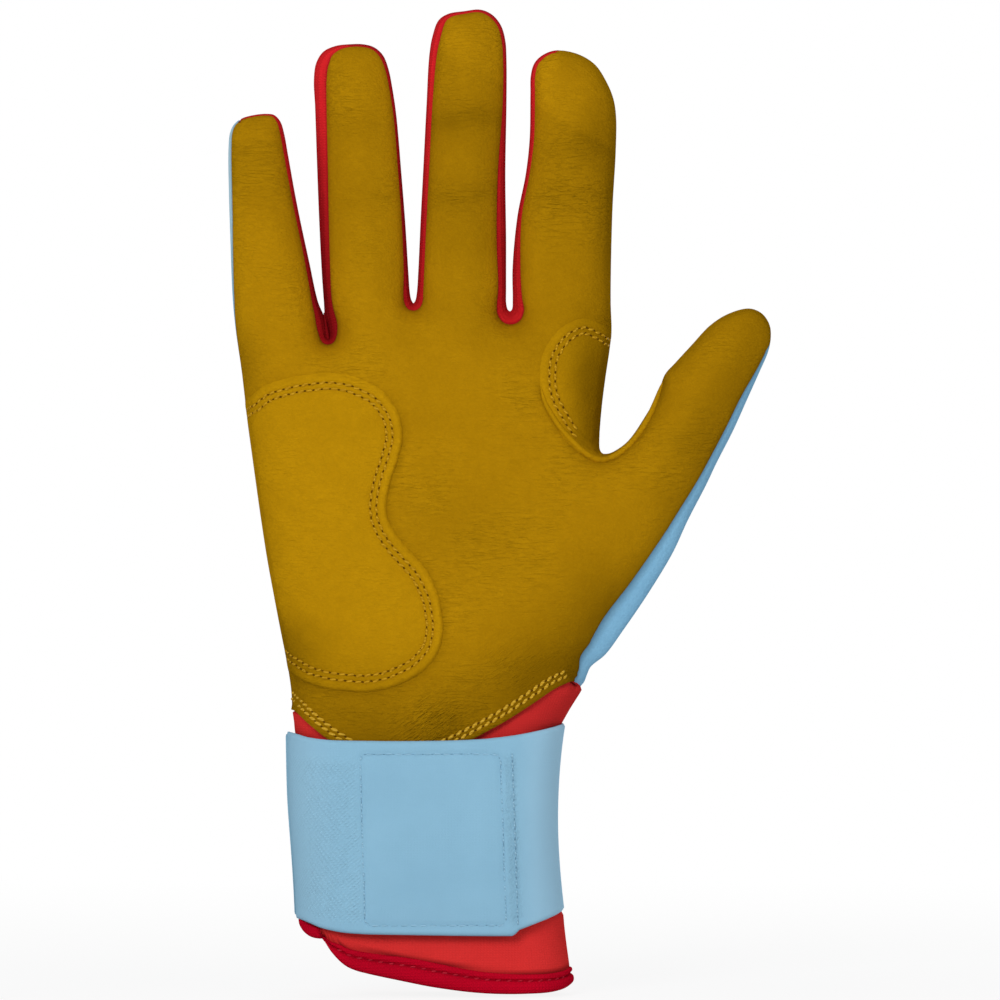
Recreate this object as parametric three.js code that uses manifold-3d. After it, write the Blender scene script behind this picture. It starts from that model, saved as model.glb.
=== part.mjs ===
// Batting glove for the right hand, in the shape it has when it is worn.
// Leather palm, soft back, red fourchettes between the fingers, a long cuff and a wrist strap.
// Millimetres. +Z runs from the wrist to the fingertips, the palm faces -Y, the thumb is on the +X side.
// The origin lies on the middle line of the wrist, level with the lowest edge of the cuff.
import * as THREE from "three";
import { mergeVertices } from "three/addons/utils/BufferGeometryUtils.js";
import Module from "manifold-3d";

const wasm = await Module();
wasm.setup();

// Walls and gaps
const LEATHER_WALL = 1.0;
const FOURCHETTE_WALL = 0.9;
const CUFF_WALL = 1.8;
const STRAP_WALL = 1.6;
const HOOK_WALL = 0.9;
const LOOP_WALL = 0.9;
const PATCH_WALL = 2.2;
const FOAM_WALL = 1.1;
const WEB_PATCH_WALL = 1.0;
const SEAM_GAP = 0.3;
const STRAP_SEAT_GAP = 0.6;
const CUFF_CLEARANCE = 0.9;

// Fingers, from the little finger to the index finger.
// Widths are half widths at the knuckle line, half way up and at the tip. Depths are half depths.
// A seam inset is how far the front seam lies inside the silhouette: that much side shows from the palm.
// A side is a red fourchette sewn in, or is cut in one with the front or the back.
const KNUCKLE_Z = 180;
const LITTLE_KNUCKLE_DROP = 8.5;
const INDEX_KNUCKLE_DROP = 4.5;
const FINGERS = [
  {
    name: "little", length: 57, lean: -6.5, knuckleZ: KNUCKLE_Z - LITTLE_KNUCKLE_DROP, bendAt: 27,
    baseWidth: 11.2, midWidth: 9.5, tipWidth: 7.5, tipRound: 8, baseDepth: 9.2, tipDepth: 7,
    leftInset: 1.6, rightInset: 1.3, leftSide: "back", rightSide: "fourchette",
  },
  {
    name: "ring", length: 67, lean: -4, knuckleZ: KNUCKLE_Z, bendAt: 31,
    baseWidth: 10.5, midWidth: 11.2, tipWidth: 10, tipRound: 10, baseDepth: 10, tipDepth: 7.6,
    leftInset: 2.8, rightInset: 1.4, leftSide: "fourchette", rightSide: "fourchette",
  },
  {
    name: "middle", length: 75.5, lean: 1.9, knuckleZ: KNUCKLE_Z, bendAt: 35,
    baseWidth: 11.8, midWidth: 10.9, tipWidth: 10, tipRound: 12, baseDepth: 10, tipDepth: 7.8,
    leftInset: 2, rightInset: 1.6, leftSide: "fourchette", rightSide: "fourchette",
  },
  {
    name: "index", length: 69, lean: 3.2, knuckleZ: KNUCKLE_Z - INDEX_KNUCKLE_DROP, bendAt: 32,
    baseWidth: 12.5, midWidth: 12, tipWidth: 10.8, tipRound: 13, baseDepth: 10.2, tipDepth: 8,
    leftInset: 1.7, rightInset: 1.2, leftSide: "fourchette", rightSide: "front",
  },
];
const KNUCKLE_LEFT_X = -50;
const KNUCKLE_GAP = 1.8;
const CROTCH_DROP = 3;

// The thumb is built as the fingers are, without fourchettes.
const THUMB = {
  name: "thumb", length: 53, lean: 30.5, knuckleX: 57.2, knuckleZ: 132.1, bendAt: 25,
  baseWidth: 13.4, midWidth: 11.8, tipWidth: 10.4, tipRound: 13,
  baseDepth: 11.4, tipDepth: 8.4, leftInset: 1.2, rightInset: 3.3, leftSide: "front", rightSide: "back",
};

// Hand and wrist
const CUFF_RIGHT_X = 38.8;
const CUFF_LEFT_X = -34.2;
const WRIST_Z = 69;
const WRIST_LEFT_X = -34.9;
const WRIST_RIGHT_X = 35.6;
const WRIST_DEPTH = 18;
const WRIST_LEVEL = 4;
const CUFF_WAIST_X = 33.3;
const CUFF_WAIST_Z = 45;
const CUFF_FLARE_X = 35.2;
const CUFF_FLARE_Z = 20;
const LEFT_HEEL_X = -39.8;
const LEFT_HEEL_Z = 100.6;
const LEFT_PALM_X = -45.9;
const THUMB_HEEL_X = 60.1;
const THUMB_HEEL_Z = 108.4;
const THUMB_ROOT_X = 43;
const THUMB_ROOT_Z = 85;
const THUMB_ROOT_STEP = 3;
const THENAR_Z = 108;
const THENAR_RISE = 1.5;
const PALM_DEPTH = 14.5;
const BACK_DEPTH = 13;
const MID_PALM_Z = 141;
const STRAP_FLAT_LEFT_X = -17.7;
const STRAP_FLAT_RIGHT_X = 21.3;
const SIDE_HALF_HEIGHT = 4;
const SIDE_INSET = 0.4;
const HEM_POINT_X = -8;
const HEM_POINT_Z = 59;
const HEM_LEFT_Z = 78.5;
const HEM_RIGHT_Z = 83;
const BACK_HEM_Z = 76;

// Cuff and strap
const CUFF_TOP_Z = 88;
const CUFF_SLIT_X = -27.6;
const CUFF_SLIT_GAP = 0.8;
const CUFF_LEFT_RISE = 13.5;
const CUFF_SLIT_RISE = 12;
const CUFF_FRONT_RISE = 2.2;
const CUFF_RIGHT_RISE = 3.5;
const CUFF_LOW_X = 24;
const BINDING_HEIGHT = 5.5;
const BINDING_LIP = 0.2;
const STRAP_TOP_Z = 65.3;
const STRAP_BOTTOM_Z = 15.3;
const STRAP_END_RISE = 4.6;
const STRAP_TOP_STEP = 1;
const STRAP_FOLD_TOP_RISE = 2;
const STRAP_FOLD_BOTTOM_RISE = 4;
const STRAP_FOLD_GROW = 0.4;
const STRAP_CUT = 0.001;
const CLOSURE_MARGIN = 4;

// Patches on the palm
const HEEL_TOP_Z = 160;
const HEEL_BOTTOM_Z = 80.5;
const HEEL_UPPER_X = -7.2;
const HEEL_UPPER_Z = 144.9;
const HEEL_WAIST_X = -14.5;
const HEEL_WAIST_Z = 125.8;
const HEEL_LOWER_X = 3.3;
const HEEL_LOWER_Z = 98;
const HEEL_CORNER_DROP = 5;
const HEEL_EDGE_MARGIN = 2.5;
const FOAM_MARGIN = 6;
const WEB_PATCH_X = 30;
const WEB_PATCH_TOP_Z = 174;
const WEB_PATCH_BOTTOM_Z = 142;
const PALM_FLAT_SPREAD = 4;
const PALM_ROWS_BELOW_HEM = 1;

// Mesh fineness
const CELL = 8;
const RIBBON_STEPS = 2;
const TIP_STEPS = 4;
const FINGER_COLUMNS = 6;
const HAND_COLUMNS = 12;
const CUFF_COLUMNS = 42;
const CUFF_ROWS = 7;
const STRAP_ROWS = 5;
const STRAP_CORNER_COLUMNS = 7;
const STRAP_BACK_COLUMNS = 18;
const FLAT_COLUMNS = 2;
const HEM_STEPS = 12;
const HEEL_CURVE_STEPS = 24;
const HEEL_SIDE_STEPS = 6;
const WEB_PATCH_STEPS = 16;

// How far the cutting outlines reach beyond the glove.
const PRISM_REACH = 3 * WRIST_DEPTH;
const FAR_X = 2 * THUMB_HEEL_X;

const leather = new THREE.MeshStandardMaterial({ color: 0xa67a09, roughness: 0.55, metalness: 0 });
const patchLeather = new THREE.MeshStandardMaterial({ color: 0xb08008, roughness: 0.5, metalness: 0 });
const backFabric = new THREE.MeshStandardMaterial({ color: 0x88b4cd, roughness: 0.7, metalness: 0 });
const redFabric = new THREE.MeshStandardMaterial({ color: 0xc32a27, roughness: 0.75, metalness: 0 });
const cuffNeoprene = new THREE.MeshStandardMaterial({ color: 0xc83030, roughness: 0.8, metalness: 0 });
const bindingTape = new THREE.MeshStandardMaterial({ color: 0xa80a24, roughness: 0.7, metalness: 0 });
const strapFabric = new THREE.MeshStandardMaterial({ color: 0x8bb8d1, roughness: 0.65, metalness: 0 });
const closureNylon = new THREE.MeshStandardMaterial({ color: 0x9fc4d8, roughness: 0.9, metalness: 0 });
const foam = new THREE.MeshStandardMaterial({ color: 0xd9d4c8, roughness: 0.95, metalness: 0 });

const glove = new THREE.Group();
glove.name = "batting_glove";

// A smooth curve through [position, value] pairs, read at any position.
function profile(pairs) {
  const slope = (i) => {
    const low = pairs[Math.max(i - 1, 0)];
    const high = pairs[Math.min(i + 1, pairs.length - 1)];
    return (high[1] - low[1]) / (high[0] - low[0]);
  };
  return (at) => {
    const last = pairs.length - 1;
    if (at <= pairs[0][0]) return pairs[0][1];
    if (at >= pairs[last][0]) return pairs[last][1];
    const i = pairs.findIndex((pair, k) => k < last && at < pairs[k + 1][0]);
    const span = pairs[i + 1][0] - pairs[i][0];
    const t = (at - pairs[i][0]) / span;
    const rise = t * t * (3 - 2 * t);
    const leave = t * (1 - t) * (1 - t) * span * slope(i);
    const arrive = t * t * (t - 1) * span * slope(i + 1);
    return pairs[i][1] * (1 - rise) + pairs[i + 1][1] * rise + leave + arrive;
  };
}

const steps = (count) => Array.from({ length: count + 1 }, (_, i) => i / count);
const lerp = THREE.MathUtils.lerp;

// Solids

function solidOf(geometry) {
  const bare = geometry.clone();
  bare.deleteAttribute("normal");
  bare.deleteAttribute("uv");
  const merged = mergeVertices(bare, 1e-4);
  return new wasm.Manifold(
    new wasm.Mesh({
      numProp: 3,
      vertProperties: merged.attributes.position.array,
      triVerts: new Uint32Array(merged.index.array),
    }),
  );
}

function geometryOf(solid) {
  const mesh = solid.getMesh();
  const geometry = new THREE.BufferGeometry();
  geometry.setAttribute("position", new THREE.BufferAttribute(mesh.vertProperties, 3));
  geometry.setIndex(new THREE.BufferAttribute(mesh.triVerts, 1));
  geometry.computeVertexNormals();
  return geometry;
}

// A closed sheet between two surfaces that are read at (u, v) from 0 to 1.
function thickSheet(uSteps, vSteps, outer, inner) {
  const points = [];
  const columns = vSteps + 1;
  const layer = (uSteps + 1) * columns;
  for (const surface of [outer, inner]) {
    for (const u of steps(uSteps)) {
      for (const v of steps(vSteps)) points.push(...surface(u, v));
    }
  }
  const index = [];
  const quad = (a, b, c, d) => index.push(a, b, c, a, c, d);
  const at = (i, j) => i * columns + j;
  for (let i = 0; i < uSteps; i++) {
    for (let j = 0; j < vSteps; j++) {
      quad(at(i, j), at(i + 1, j), at(i + 1, j + 1), at(i, j + 1));
      quad(layer + at(i, j), layer + at(i, j + 1), layer + at(i + 1, j + 1), layer + at(i + 1, j));
    }
    quad(at(i, 0), layer + at(i, 0), layer + at(i + 1, 0), at(i + 1, 0));
    quad(at(i + 1, vSteps), layer + at(i + 1, vSteps), layer + at(i, vSteps), at(i, vSteps));
  }
  for (let j = 0; j < vSteps; j++) {
    quad(at(0, j + 1), layer + at(0, j + 1), layer + at(0, j), at(0, j));
    quad(at(uSteps, j), layer + at(uSteps, j), layer + at(uSteps, j + 1), at(uSteps, j + 1));
  }
  const geometry = new THREE.BufferGeometry();
  geometry.setAttribute("position", new THREE.Float32BufferAttribute(points, 3));
  geometry.setIndex(index);
  const made = solidOf(geometry);
  if (made.volume() > 0) return made;
  for (let i = 0; i < index.length; i += 3) [index[i], index[i + 1]] = [index[i + 1], index[i]];
  geometry.setIndex(index);
  return solidOf(geometry);
}

// An outline in the plane of the hand, swept through the whole depth of the glove.
function prism(outline) {
  const shape = new THREE.Shape(outline.map(([x, z]) => new THREE.Vector2(x, z)));
  const swept = new THREE.ExtrudeGeometry(shape, { depth: 2 * PRISM_REACH, bevelEnabled: false });
  return solidOf(swept.rotateX(Math.PI / 2).translate(0, PRISM_REACH, 0));
}

// A panel over rows of [left x, right x, z].
// Its outer face lies at depthAt(x, z), facing -1 on the palm and 1 on the back.
function panel(rows, across, depthAt, wall, facing) {
  const last = rows.length - 1;
  const sheet = (inward) => (u, v) => {
    const [left, right, z] = rows[Math.round(v * last)];
    const x = lerp(left, right, (1 - Math.cos(u * Math.PI)) / 2);
    return [x, facing * (depthAt(x, z) - inward), z];
  };
  return thickSheet(across, last, sheet(0), sheet(wall));
}

// A side strip along a path of [x, z] points. It stands across the glove from frontAt(i) to backAt(i) at
// point i and curves in by insetAt(y, i), to the left of the path's direction for turn 1, or right for -1.
// The last point takes endNormal where that is given.
function ribbon(path, frontAt, backAt, insetAt, wall, turn, endNormal) {
  const count = path.length - 1;
  const normal = (i) => {
    if (i === count && endNormal) return endNormal;
    const from = path[Math.max(i - 1, 0)];
    const to = path[Math.min(i + 1, count)];
    const length = Math.hypot(to[0] - from[0], to[1] - from[1]);
    return [(-turn * (to[1] - from[1])) / length, (turn * (to[0] - from[0])) / length];
  };
  const sheet = (inward) => (u, v) => {
    const i = Math.round(u * count);
    const y = lerp(frontAt(i), backAt(i), v);
    const move = insetAt(y, i) + inward;
    const [nx, nz] = normal(i);
    return [path[i][0] + nx * move, y, path[i][1] + nz * move];
  };
  return thickSheet(count, RIBBON_STEPS, sheet(0), sheet(wall));
}

function addPiece(name, solid, material, parent) {
  const mesh = new THREE.Mesh(geometryOf(solid), material);
  mesh.name = name;
  parent.add(mesh);
}

// Fingers and thumb, in their own frame: x across, z from the knuckle line to the tip

function straightWidth(finger, s) {
  const t = s / finger.length;
  const base = finger.baseWidth * (1 - t) * (1 - 2 * t);
  return base + finger.midWidth * 4 * t * (1 - t) + finger.tipWidth * t * (2 * t - 1);
}

const TIP_POWER = 2.4;
const depthAtLength = (finger, s) => lerp(finger.baseDepth, finger.tipDepth, s / finger.length);
const stripHalfHeight = (finger, s) => depthAtLength(finger, s) / 2;
const tipInset = (finger) => Math.min(finger.leftInset, finger.rightInset);

const shoulderOf = (finger) => finger.length - finger.tipRound;
const insetOf = (finger, side) => (side < 0 ? finger.leftInset : finger.rightInset);

// Points up one side from s0 to s1, which runs on round the tip to lastAngle where s1 is the finger's length.
function sidePath(finger, side, inset, s0, s1, lastAngle) {
  const tipHeight = finger.tipRound - (inset > 0 ? tipInset(finger) : 0);
  const shoulder = shoulderOf(finger);
  const straightEnd = Math.min(s1, shoulder);
  const count = Math.ceil((straightEnd - s0) / CELL);
  const path = steps(count).map((t) => {
    const s = lerp(s0, straightEnd, t);
    return [side * (straightWidth(finger, s) - inset), s];
  });
  if (s1 < finger.length) return path;
  const width = straightWidth(finger, shoulder) - inset;
  for (const t of steps(TIP_STEPS).slice(1)) {
    const angle = t * lastAngle;
    const across = width * Math.max(Math.cos(angle), 0) ** (2 / TIP_POWER);
    const climb = tipHeight * Math.sin(angle) ** (2 / TIP_POWER);
    path.push([side * Math.max(across, SEAM_GAP / 2), shoulder + climb]);
  }
  return path;
}

const PANEL_TIP_ANGLE = THREE.MathUtils.degToRad(78);
function fingerPanel(finger, s0, s1, facing) {
  const left = sidePath(finger, -1, finger.leftInset, s0, s1, PANEL_TIP_ANGLE);
  const right = sidePath(finger, 1, finger.rightInset, s0, s1, PANEL_TIP_ANGLE);
  const rows = left.map(([x, s], i) => [x, right[i][0], s]);
  const tipHeight = finger.tipRound - tipInset(finger);
  const depthAt = (x, s) => {
    const row = rows.find((r) => r[2] === s);
    const out = (2 * x - row[0] - row[1]) / (row[1] - row[0]);
    const climb = Math.max(0, s - shoulderOf(finger)) / tipHeight;
    const dome = Math.sqrt(Math.max(0, 1 - out * out) * Math.max(0, 1 - climb * climb));
    const strip = stripHalfHeight(finger, s);
    return strip + (depthAtLength(finger, s) - strip) * dome;
  };
  return panel(rows, FINGER_COLUMNS, depthAt, LEATHER_WALL, facing);
}

function fingerStrip(finger, side, s0, s1, wall, reach) {
  const path = sidePath(finger, side, 0, s0, s1, Math.PI / 2);
  const half = (i) => stripHalfHeight(finger, path[i][1]);
  const sewn = (i) => half(i) - LEATHER_WALL - SEAM_GAP;
  const joined = (i) => half(i) - LEATHER_WALL / 2;
  const frontAt = (i) => -(reach === "front" ? joined(i) : sewn(i));
  const backAt = (i) => (reach === "back" ? joined(i) : sewn(i));
  const insetAt = (y, i) => insetOf(finger, side) * (y / half(i)) ** 2;
  const endNormal = s1 < finger.length ? null : [0, -1];
  return ribbon(path, frontAt, backAt, insetAt, wall, side < 0 ? -1 : 1, endNormal);
}

const SIDE_NAMES = { "-1": "left", 1: "right" };

// One length of a finger: front and back panels, and a strip on each side.
// A strip is sewn in between the panels, or cut in one with the panel that its side names.
function addFingerLength(finger, label, s0, s1, parent) {
  let front = fingerPanel(finger, s0, s1, -1);
  let back = fingerPanel(finger, s0, s1, 1);
  for (const side of [-1, 1]) {
    const kind = side < 0 ? finger.leftSide : finger.rightSide;
    if (kind === "fourchette") {
      const strip = fingerStrip(finger, side, s0, s1, FOURCHETTE_WALL, "none");
      addPiece(`${label}_fourchette_${SIDE_NAMES[side]}`, strip, redFabric, parent);
    } else {
      const wrap = fingerStrip(finger, side, s0, s1, LEATHER_WALL, kind);
      if (kind === "front") front = front.add(wrap);
      else back = back.add(wrap);
    }
  }
  addPiece(`${label}_front`, front, leather, parent);
  addPiece(`${label}_back`, back, backFabric, parent);
}

function addFinger(finger) {
  const group = new THREE.Group();
  group.position.set(finger.knuckleX, 0, finger.knuckleZ);
  group.rotation.y = THREE.MathUtils.degToRad(finger.lean);
  glove.add(group);
  addFingerLength(finger, `${finger.name}_base`, SEAM_GAP / 2, finger.bendAt - SEAM_GAP / 2, group);
  addFingerLength(finger, `${finger.name}_tip`, finger.bendAt + SEAM_GAP / 2, finger.length, group);
}

FINGERS.forEach((finger, i) => {
  const before = FINGERS[i - 1];
  const left = before ? before.knuckleX + before.baseWidth + KNUCKLE_GAP : KNUCKLE_LEFT_X;
  finger.knuckleX = left + finger.baseWidth;
});
[...FINGERS, THUMB].forEach(addFinger);

// Hand outline

// A point of a finger's own frame, in the hand's plane.
function inHand(finger, across, up) {
  const lean = THREE.MathUtils.degToRad(finger.lean);
  return [
    finger.knuckleX + across * Math.cos(lean) + up * Math.sin(lean),
    finger.knuckleZ - across * Math.sin(lean) + up * Math.cos(lean),
  ];
}

const little = FINGERS[0];
const index = FINGERS[FINGERS.length - 1];
const KNUCKLE_CLEAR = -SEAM_GAP / 2;
const littleCorner = inHand(little, -little.baseWidth, KNUCKLE_CLEAR);
const indexCorner = inHand(index, index.baseWidth, KNUCKLE_CLEAR);
const thumbInner = inHand(THUMB, -THUMB.baseWidth, KNUCKLE_CLEAR);
const thumbOuter = inHand(THUMB, THUMB.baseWidth, KNUCKLE_CLEAR);

const leftEdge = profile([
  [0, CUFF_LEFT_X],
  [WRIST_Z, WRIST_LEFT_X],
  [LEFT_HEEL_Z, LEFT_HEEL_X],
  [MID_PALM_Z, LEFT_PALM_X],
  [littleCorner[1], littleCorner[0]],
]);
const indexEdge = profile([
  [thumbInner[1], thumbInner[0] - SEAM_GAP],
  [indexCorner[1], indexCorner[0]],
]);
const palmRightEdge = profile([
  [0, CUFF_RIGHT_X],
  [CUFF_FLARE_Z, CUFF_FLARE_X],
  [CUFF_WAIST_Z, CUFF_WAIST_X],
  [WRIST_Z, WRIST_RIGHT_X],
  [THUMB_ROOT_Z, THUMB_ROOT_X - THUMB_ROOT_STEP],
  [thumbInner[1], thumbInner[0]],
  [indexCorner[1], indexCorner[0]],
]);
const thumbEdge = profile([
  [WRIST_Z, WRIST_RIGHT_X],
  [THUMB_ROOT_Z, THUMB_ROOT_X],
  [THUMB_HEEL_Z, THUMB_HEEL_X],
  [thumbOuter[1], thumbOuter[0]],
]);

// Depth of the hand and wrist

const STRAP_FLAT_HALF = (STRAP_FLAT_RIGHT_X - STRAP_FLAT_LEFT_X) / 2;
const STRAP_FLAT_MIDDLE = (STRAP_FLAT_RIGHT_X + STRAP_FLAT_LEFT_X) / 2;
const KNUCKLE_ROUND = 10;
const flatHalf = profile([
  [0, STRAP_FLAT_HALF],
  [WRIST_Z, STRAP_FLAT_HALF],
  [MID_PALM_Z, STRAP_FLAT_HALF + PALM_FLAT_SPREAD],
  [index.knuckleZ, (indexCorner[0] - littleCorner[0]) / 2 - KNUCKLE_ROUND],
]);
const flatMiddle = profile([
  [WRIST_Z, STRAP_FLAT_MIDDLE],
  [MID_PALM_Z, (leftEdge(MID_PALM_Z) + palmRightEdge(MID_PALM_Z)) / 2],
  [index.knuckleZ, (indexCorner[0] + littleCorner[0]) / 2],
]);
const frontDepth = profile([
  [0, WRIST_DEPTH],
  [WRIST_Z, WRIST_DEPTH],
  [WRIST_Z + WRIST_LEVEL, WRIST_DEPTH],
  [THENAR_Z, PALM_DEPTH + THENAR_RISE],
  [MID_PALM_Z, PALM_DEPTH],
  [index.knuckleZ, index.baseDepth],
]);
const backDepth = profile([
  [0, WRIST_DEPTH],
  [WRIST_Z, WRIST_DEPTH],
  [WRIST_Z + WRIST_LEVEL, WRIST_DEPTH],
  [THENAR_Z, BACK_DEPTH + THENAR_RISE],
  [MID_PALM_Z, BACK_DEPTH],
  [index.knuckleZ, index.baseDepth],
]);

// Depth of the flat-topped, round-sided section of the palm and wrist.
function palmDome(x, z, depth) {
  const offset = x - flatMiddle(z);
  const edge = offset < 0 ? flatMiddle(z) - leftEdge(z) : palmRightEdge(z) - flatMiddle(z);
  const out = THREE.MathUtils.clamp((Math.abs(offset) - flatHalf(z)) / (edge - flatHalf(z)), 0, 1);
  return depth * Math.sqrt(1 - out * out);
}

// Depth of the ball of the thumb, which runs on from the thumb into the palm and fades towards the wrist.
const THENAR_REACH = 55;
const THENAR_SPREAD = 0.16;
function thumbDome(x, z) {
  const lean = THREE.MathUtils.degToRad(THUMB.lean);
  const dx = x - THUMB.knuckleX;
  const dz = z - THUMB.knuckleZ;
  const across = dx * Math.cos(lean) - dz * Math.sin(lean);
  const below = Math.max(0, -(dx * Math.sin(lean) + dz * Math.cos(lean)));
  const width = THUMB.baseWidth + THENAR_SPREAD * below;
  const fade = Math.max(0, 1 - below / THENAR_REACH);
  return THUMB.baseDepth * Math.sqrt(Math.max(0, 1 - (across / width) ** 2)) * Math.sqrt(fade);
}

const BLEND_POWER = 4;
function handDepth(x, z, depth) {
  const joined = palmDome(x, z, depth(z)) ** BLEND_POWER + thumbDome(x, z) ** BLEND_POWER;
  return Math.max(SIDE_HALF_HEIGHT, joined ** (1 / BLEND_POWER));
}
const palmFace = (x, z) => handDepth(x, z, frontDepth);
const backFace = (x, z) => handDepth(x, z, backDepth);

// Points along an edge from z0 to z1.
function edgePath(edge, z0, z1) {
  const count = Math.ceil(Math.abs(z1 - z0) / (2 * CELL));
  return steps(count).map((t) => {
    const z = lerp(z0, z1, t);
    return [edge(z), z];
  });
}

// The slot between two fingers: down one side, round the crotch and up the other, moved out by inset.
const CROTCH_STEPS = 6;
function crotchPath(i, inset) {
  const [a, b] = [FINGERS[i], FINGERS[i + 1]];
  const start = inHand(a, a.baseWidth, KNUCKLE_CLEAR);
  const end = inHand(b, -b.baseWidth, KNUCKLE_CLEAR);
  const radius = KNUCKLE_GAP / 2;
  const middle = [(start[0] + end[0]) / 2, Math.min(start[1], end[1]) - CROTCH_DROP + radius];
  const arc = steps(CROTCH_STEPS).map((t) => {
    const angle = Math.PI * (1 + t);
    return [middle[0] + (radius + inset) * Math.cos(angle), middle[1] + (radius + inset) * Math.sin(angle)];
  });
  const first = inHand(a, a.baseWidth - inset, KNUCKLE_CLEAR);
  const last = inHand(b, inset - b.baseWidth, KNUCKLE_CLEAR);
  return [first, ...arc, last];
}
const crotchInset = (i) => Math.min(FINGERS[i].rightInset, FINGERS[i + 1].leftInset);

// The knuckle lines from the little finger to the index finger, with a slot between each two.
function knuckleLine() {
  const slots = FINGERS.slice(1).flatMap((_, i) => crotchPath(i, crotchInset(i)));
  const ends = [inHand(little, -2 * little.baseWidth, KNUCKLE_CLEAR)];
  return [...ends, ...slots, inHand(index, 2 * index.baseWidth, KNUCKLE_CLEAR)];
}

// Rows of the hand from the wrist to the knuckles. The right edge is the outer edge of the thumb's root,
// then the thumb's knuckle line, then the edge below the index finger.
const HAND_TOP_Z = 184;
function handRows(lowZ, thumbInset) {
  const inner = inHand(THUMB, -THUMB.baseWidth, KNUCKLE_CLEAR);
  const outer = inHand(THUMB, THUMB.baseWidth - thumbInset, KNUCKLE_CLEAR);
  const between = (z0, z1) => steps(Math.ceil((z1 - z0) / CELL)).map((t) => lerp(z0, z1, t));
  const rightAt = (z) => {
    if (z < outer[1]) return thumbEdge(z) - thumbInset;
    if (z < inner[1]) return lerp(outer[0], inner[0], (z - outer[1]) / (inner[1] - outer[1]));
    return indexEdge(z) - SIDE_INSET;
  };
  const heights = [
    ...between(lowZ, outer[1]).slice(0, -1),
    ...between(outer[1], inner[1]).slice(0, -1),
    ...between(inner[1], HAND_TOP_Z),
  ];
  return heights.map((z) => [leftEdge(z) + SIDE_INSET, rightAt(z), z]);
}

const palmRows = () => handRows(HEM_POINT_Z - PALM_ROWS_BELOW_HEM, THUMB.rightInset);
const sideInset = (y) => SIDE_INSET * (y / SIDE_HALF_HEIGHT) ** 2;

function addPalm() {
  const hem = profile([
    [leftEdge(HEM_LEFT_Z), HEM_LEFT_Z],
    [HEM_POINT_X, HEM_POINT_Z],
    [thumbEdge(HEM_RIGHT_Z), HEM_RIGHT_Z],
  ]);
  const hemLine = steps(HEM_STEPS).map((t) => {
    const x = lerp(thumbEdge(HEM_RIGHT_Z), leftEdge(HEM_LEFT_Z), t);
    return [x, hem(x)];
  });
  const outline = [
    [-FAR_X, HEM_LEFT_Z],
    ...knuckleLine(),
    [FAR_X, index.knuckleZ],
    [FAR_X, HEM_RIGHT_Z],
    ...hemLine,
  ];
  const side = () => LEATHER_WALL / 2 - SIDE_HALF_HEIGHT;
  const far = () => SIDE_HALF_HEIGHT - LEATHER_WALL - SEAM_GAP;
  const leftPath = edgePath(leftEdge, HEM_LEFT_Z, littleCorner[1]);
  const rightPath = edgePath(indexEdge, indexCorner[1], thumbInner[1]);
  const palm = panel(palmRows(), HAND_COLUMNS, palmFace, LEATHER_WALL, -1)
    .intersect(prism(outline))
    .add(ribbon(leftPath, side, far, sideInset, LEATHER_WALL, -1))
    .add(ribbon(rightPath, side, far, sideInset, LEATHER_WALL, -1));
  addPiece("palm_panel", palm, leather, glove);
}

function addBackOfHand() {
  const backInset = THUMB.leftInset;
  const outline = [[-FAR_X, 0], ...knuckleLine(), [FAR_X, index.knuckleZ], [FAR_X, 0]];
  const path = edgePath(thumbEdge, thumbOuter[1], BACK_HEM_Z);
  const frontHalf = (i) => palmFace(path[i][0] - THUMB.rightInset, path[i][1]);
  const backHalf = (i) => backFace(path[i][0] - backInset, path[i][1]);
  const frontAt = (i) => LEATHER_WALL + SEAM_GAP - frontHalf(i);
  const backAt = (i) => backHalf(i) - LEATHER_WALL / 2;
  const frontInset = (y, i) => THUMB.rightInset * (y / frontHalf(i)) ** 2;
  const rearInset = (y, i) => backInset * (y / backHalf(i)) ** 2;
  const insetAt = (y, i) => (y < 0 ? frontInset(y, i) : rearInset(y, i));
  const back = panel(handRows(BACK_HEM_Z, backInset), HAND_COLUMNS, backFace, LEATHER_WALL, 1)
    .intersect(prism(outline))
    .add(ribbon(path, frontAt, backAt, insetAt, LEATHER_WALL, -1));
  addPiece("back_panel", back, backFabric, glove);
}

function addGussets() {
  FINGERS.slice(1).forEach((finger, i) => {
    const before = FINGERS[i];
    const half = Math.min(stripHalfHeight(before, 0), stripHalfHeight(finger, 0));
    const edge = half - LEATHER_WALL - SEAM_GAP;
    const inset = (y) => crotchInset(i) * (y / half) ** 2;
    const strip = ribbon(crotchPath(i, 0), () => -edge, () => edge, inset, FOURCHETTE_WALL, -1);
    addPiece(`gusset_${before.name}_${finger.name}`, strip, redFabric, glove);
  });
}

// Patches on the palm

// A layer that follows the palm's own grid at a height above it, cut to an outline.
function palmLayer(outline, height, wall) {
  const raised = (x, z) => palmFace(x, z) + height;
  return panel(palmRows(), HAND_COLUMNS, raised, wall, -1).intersect(prism(outline));
}

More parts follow.
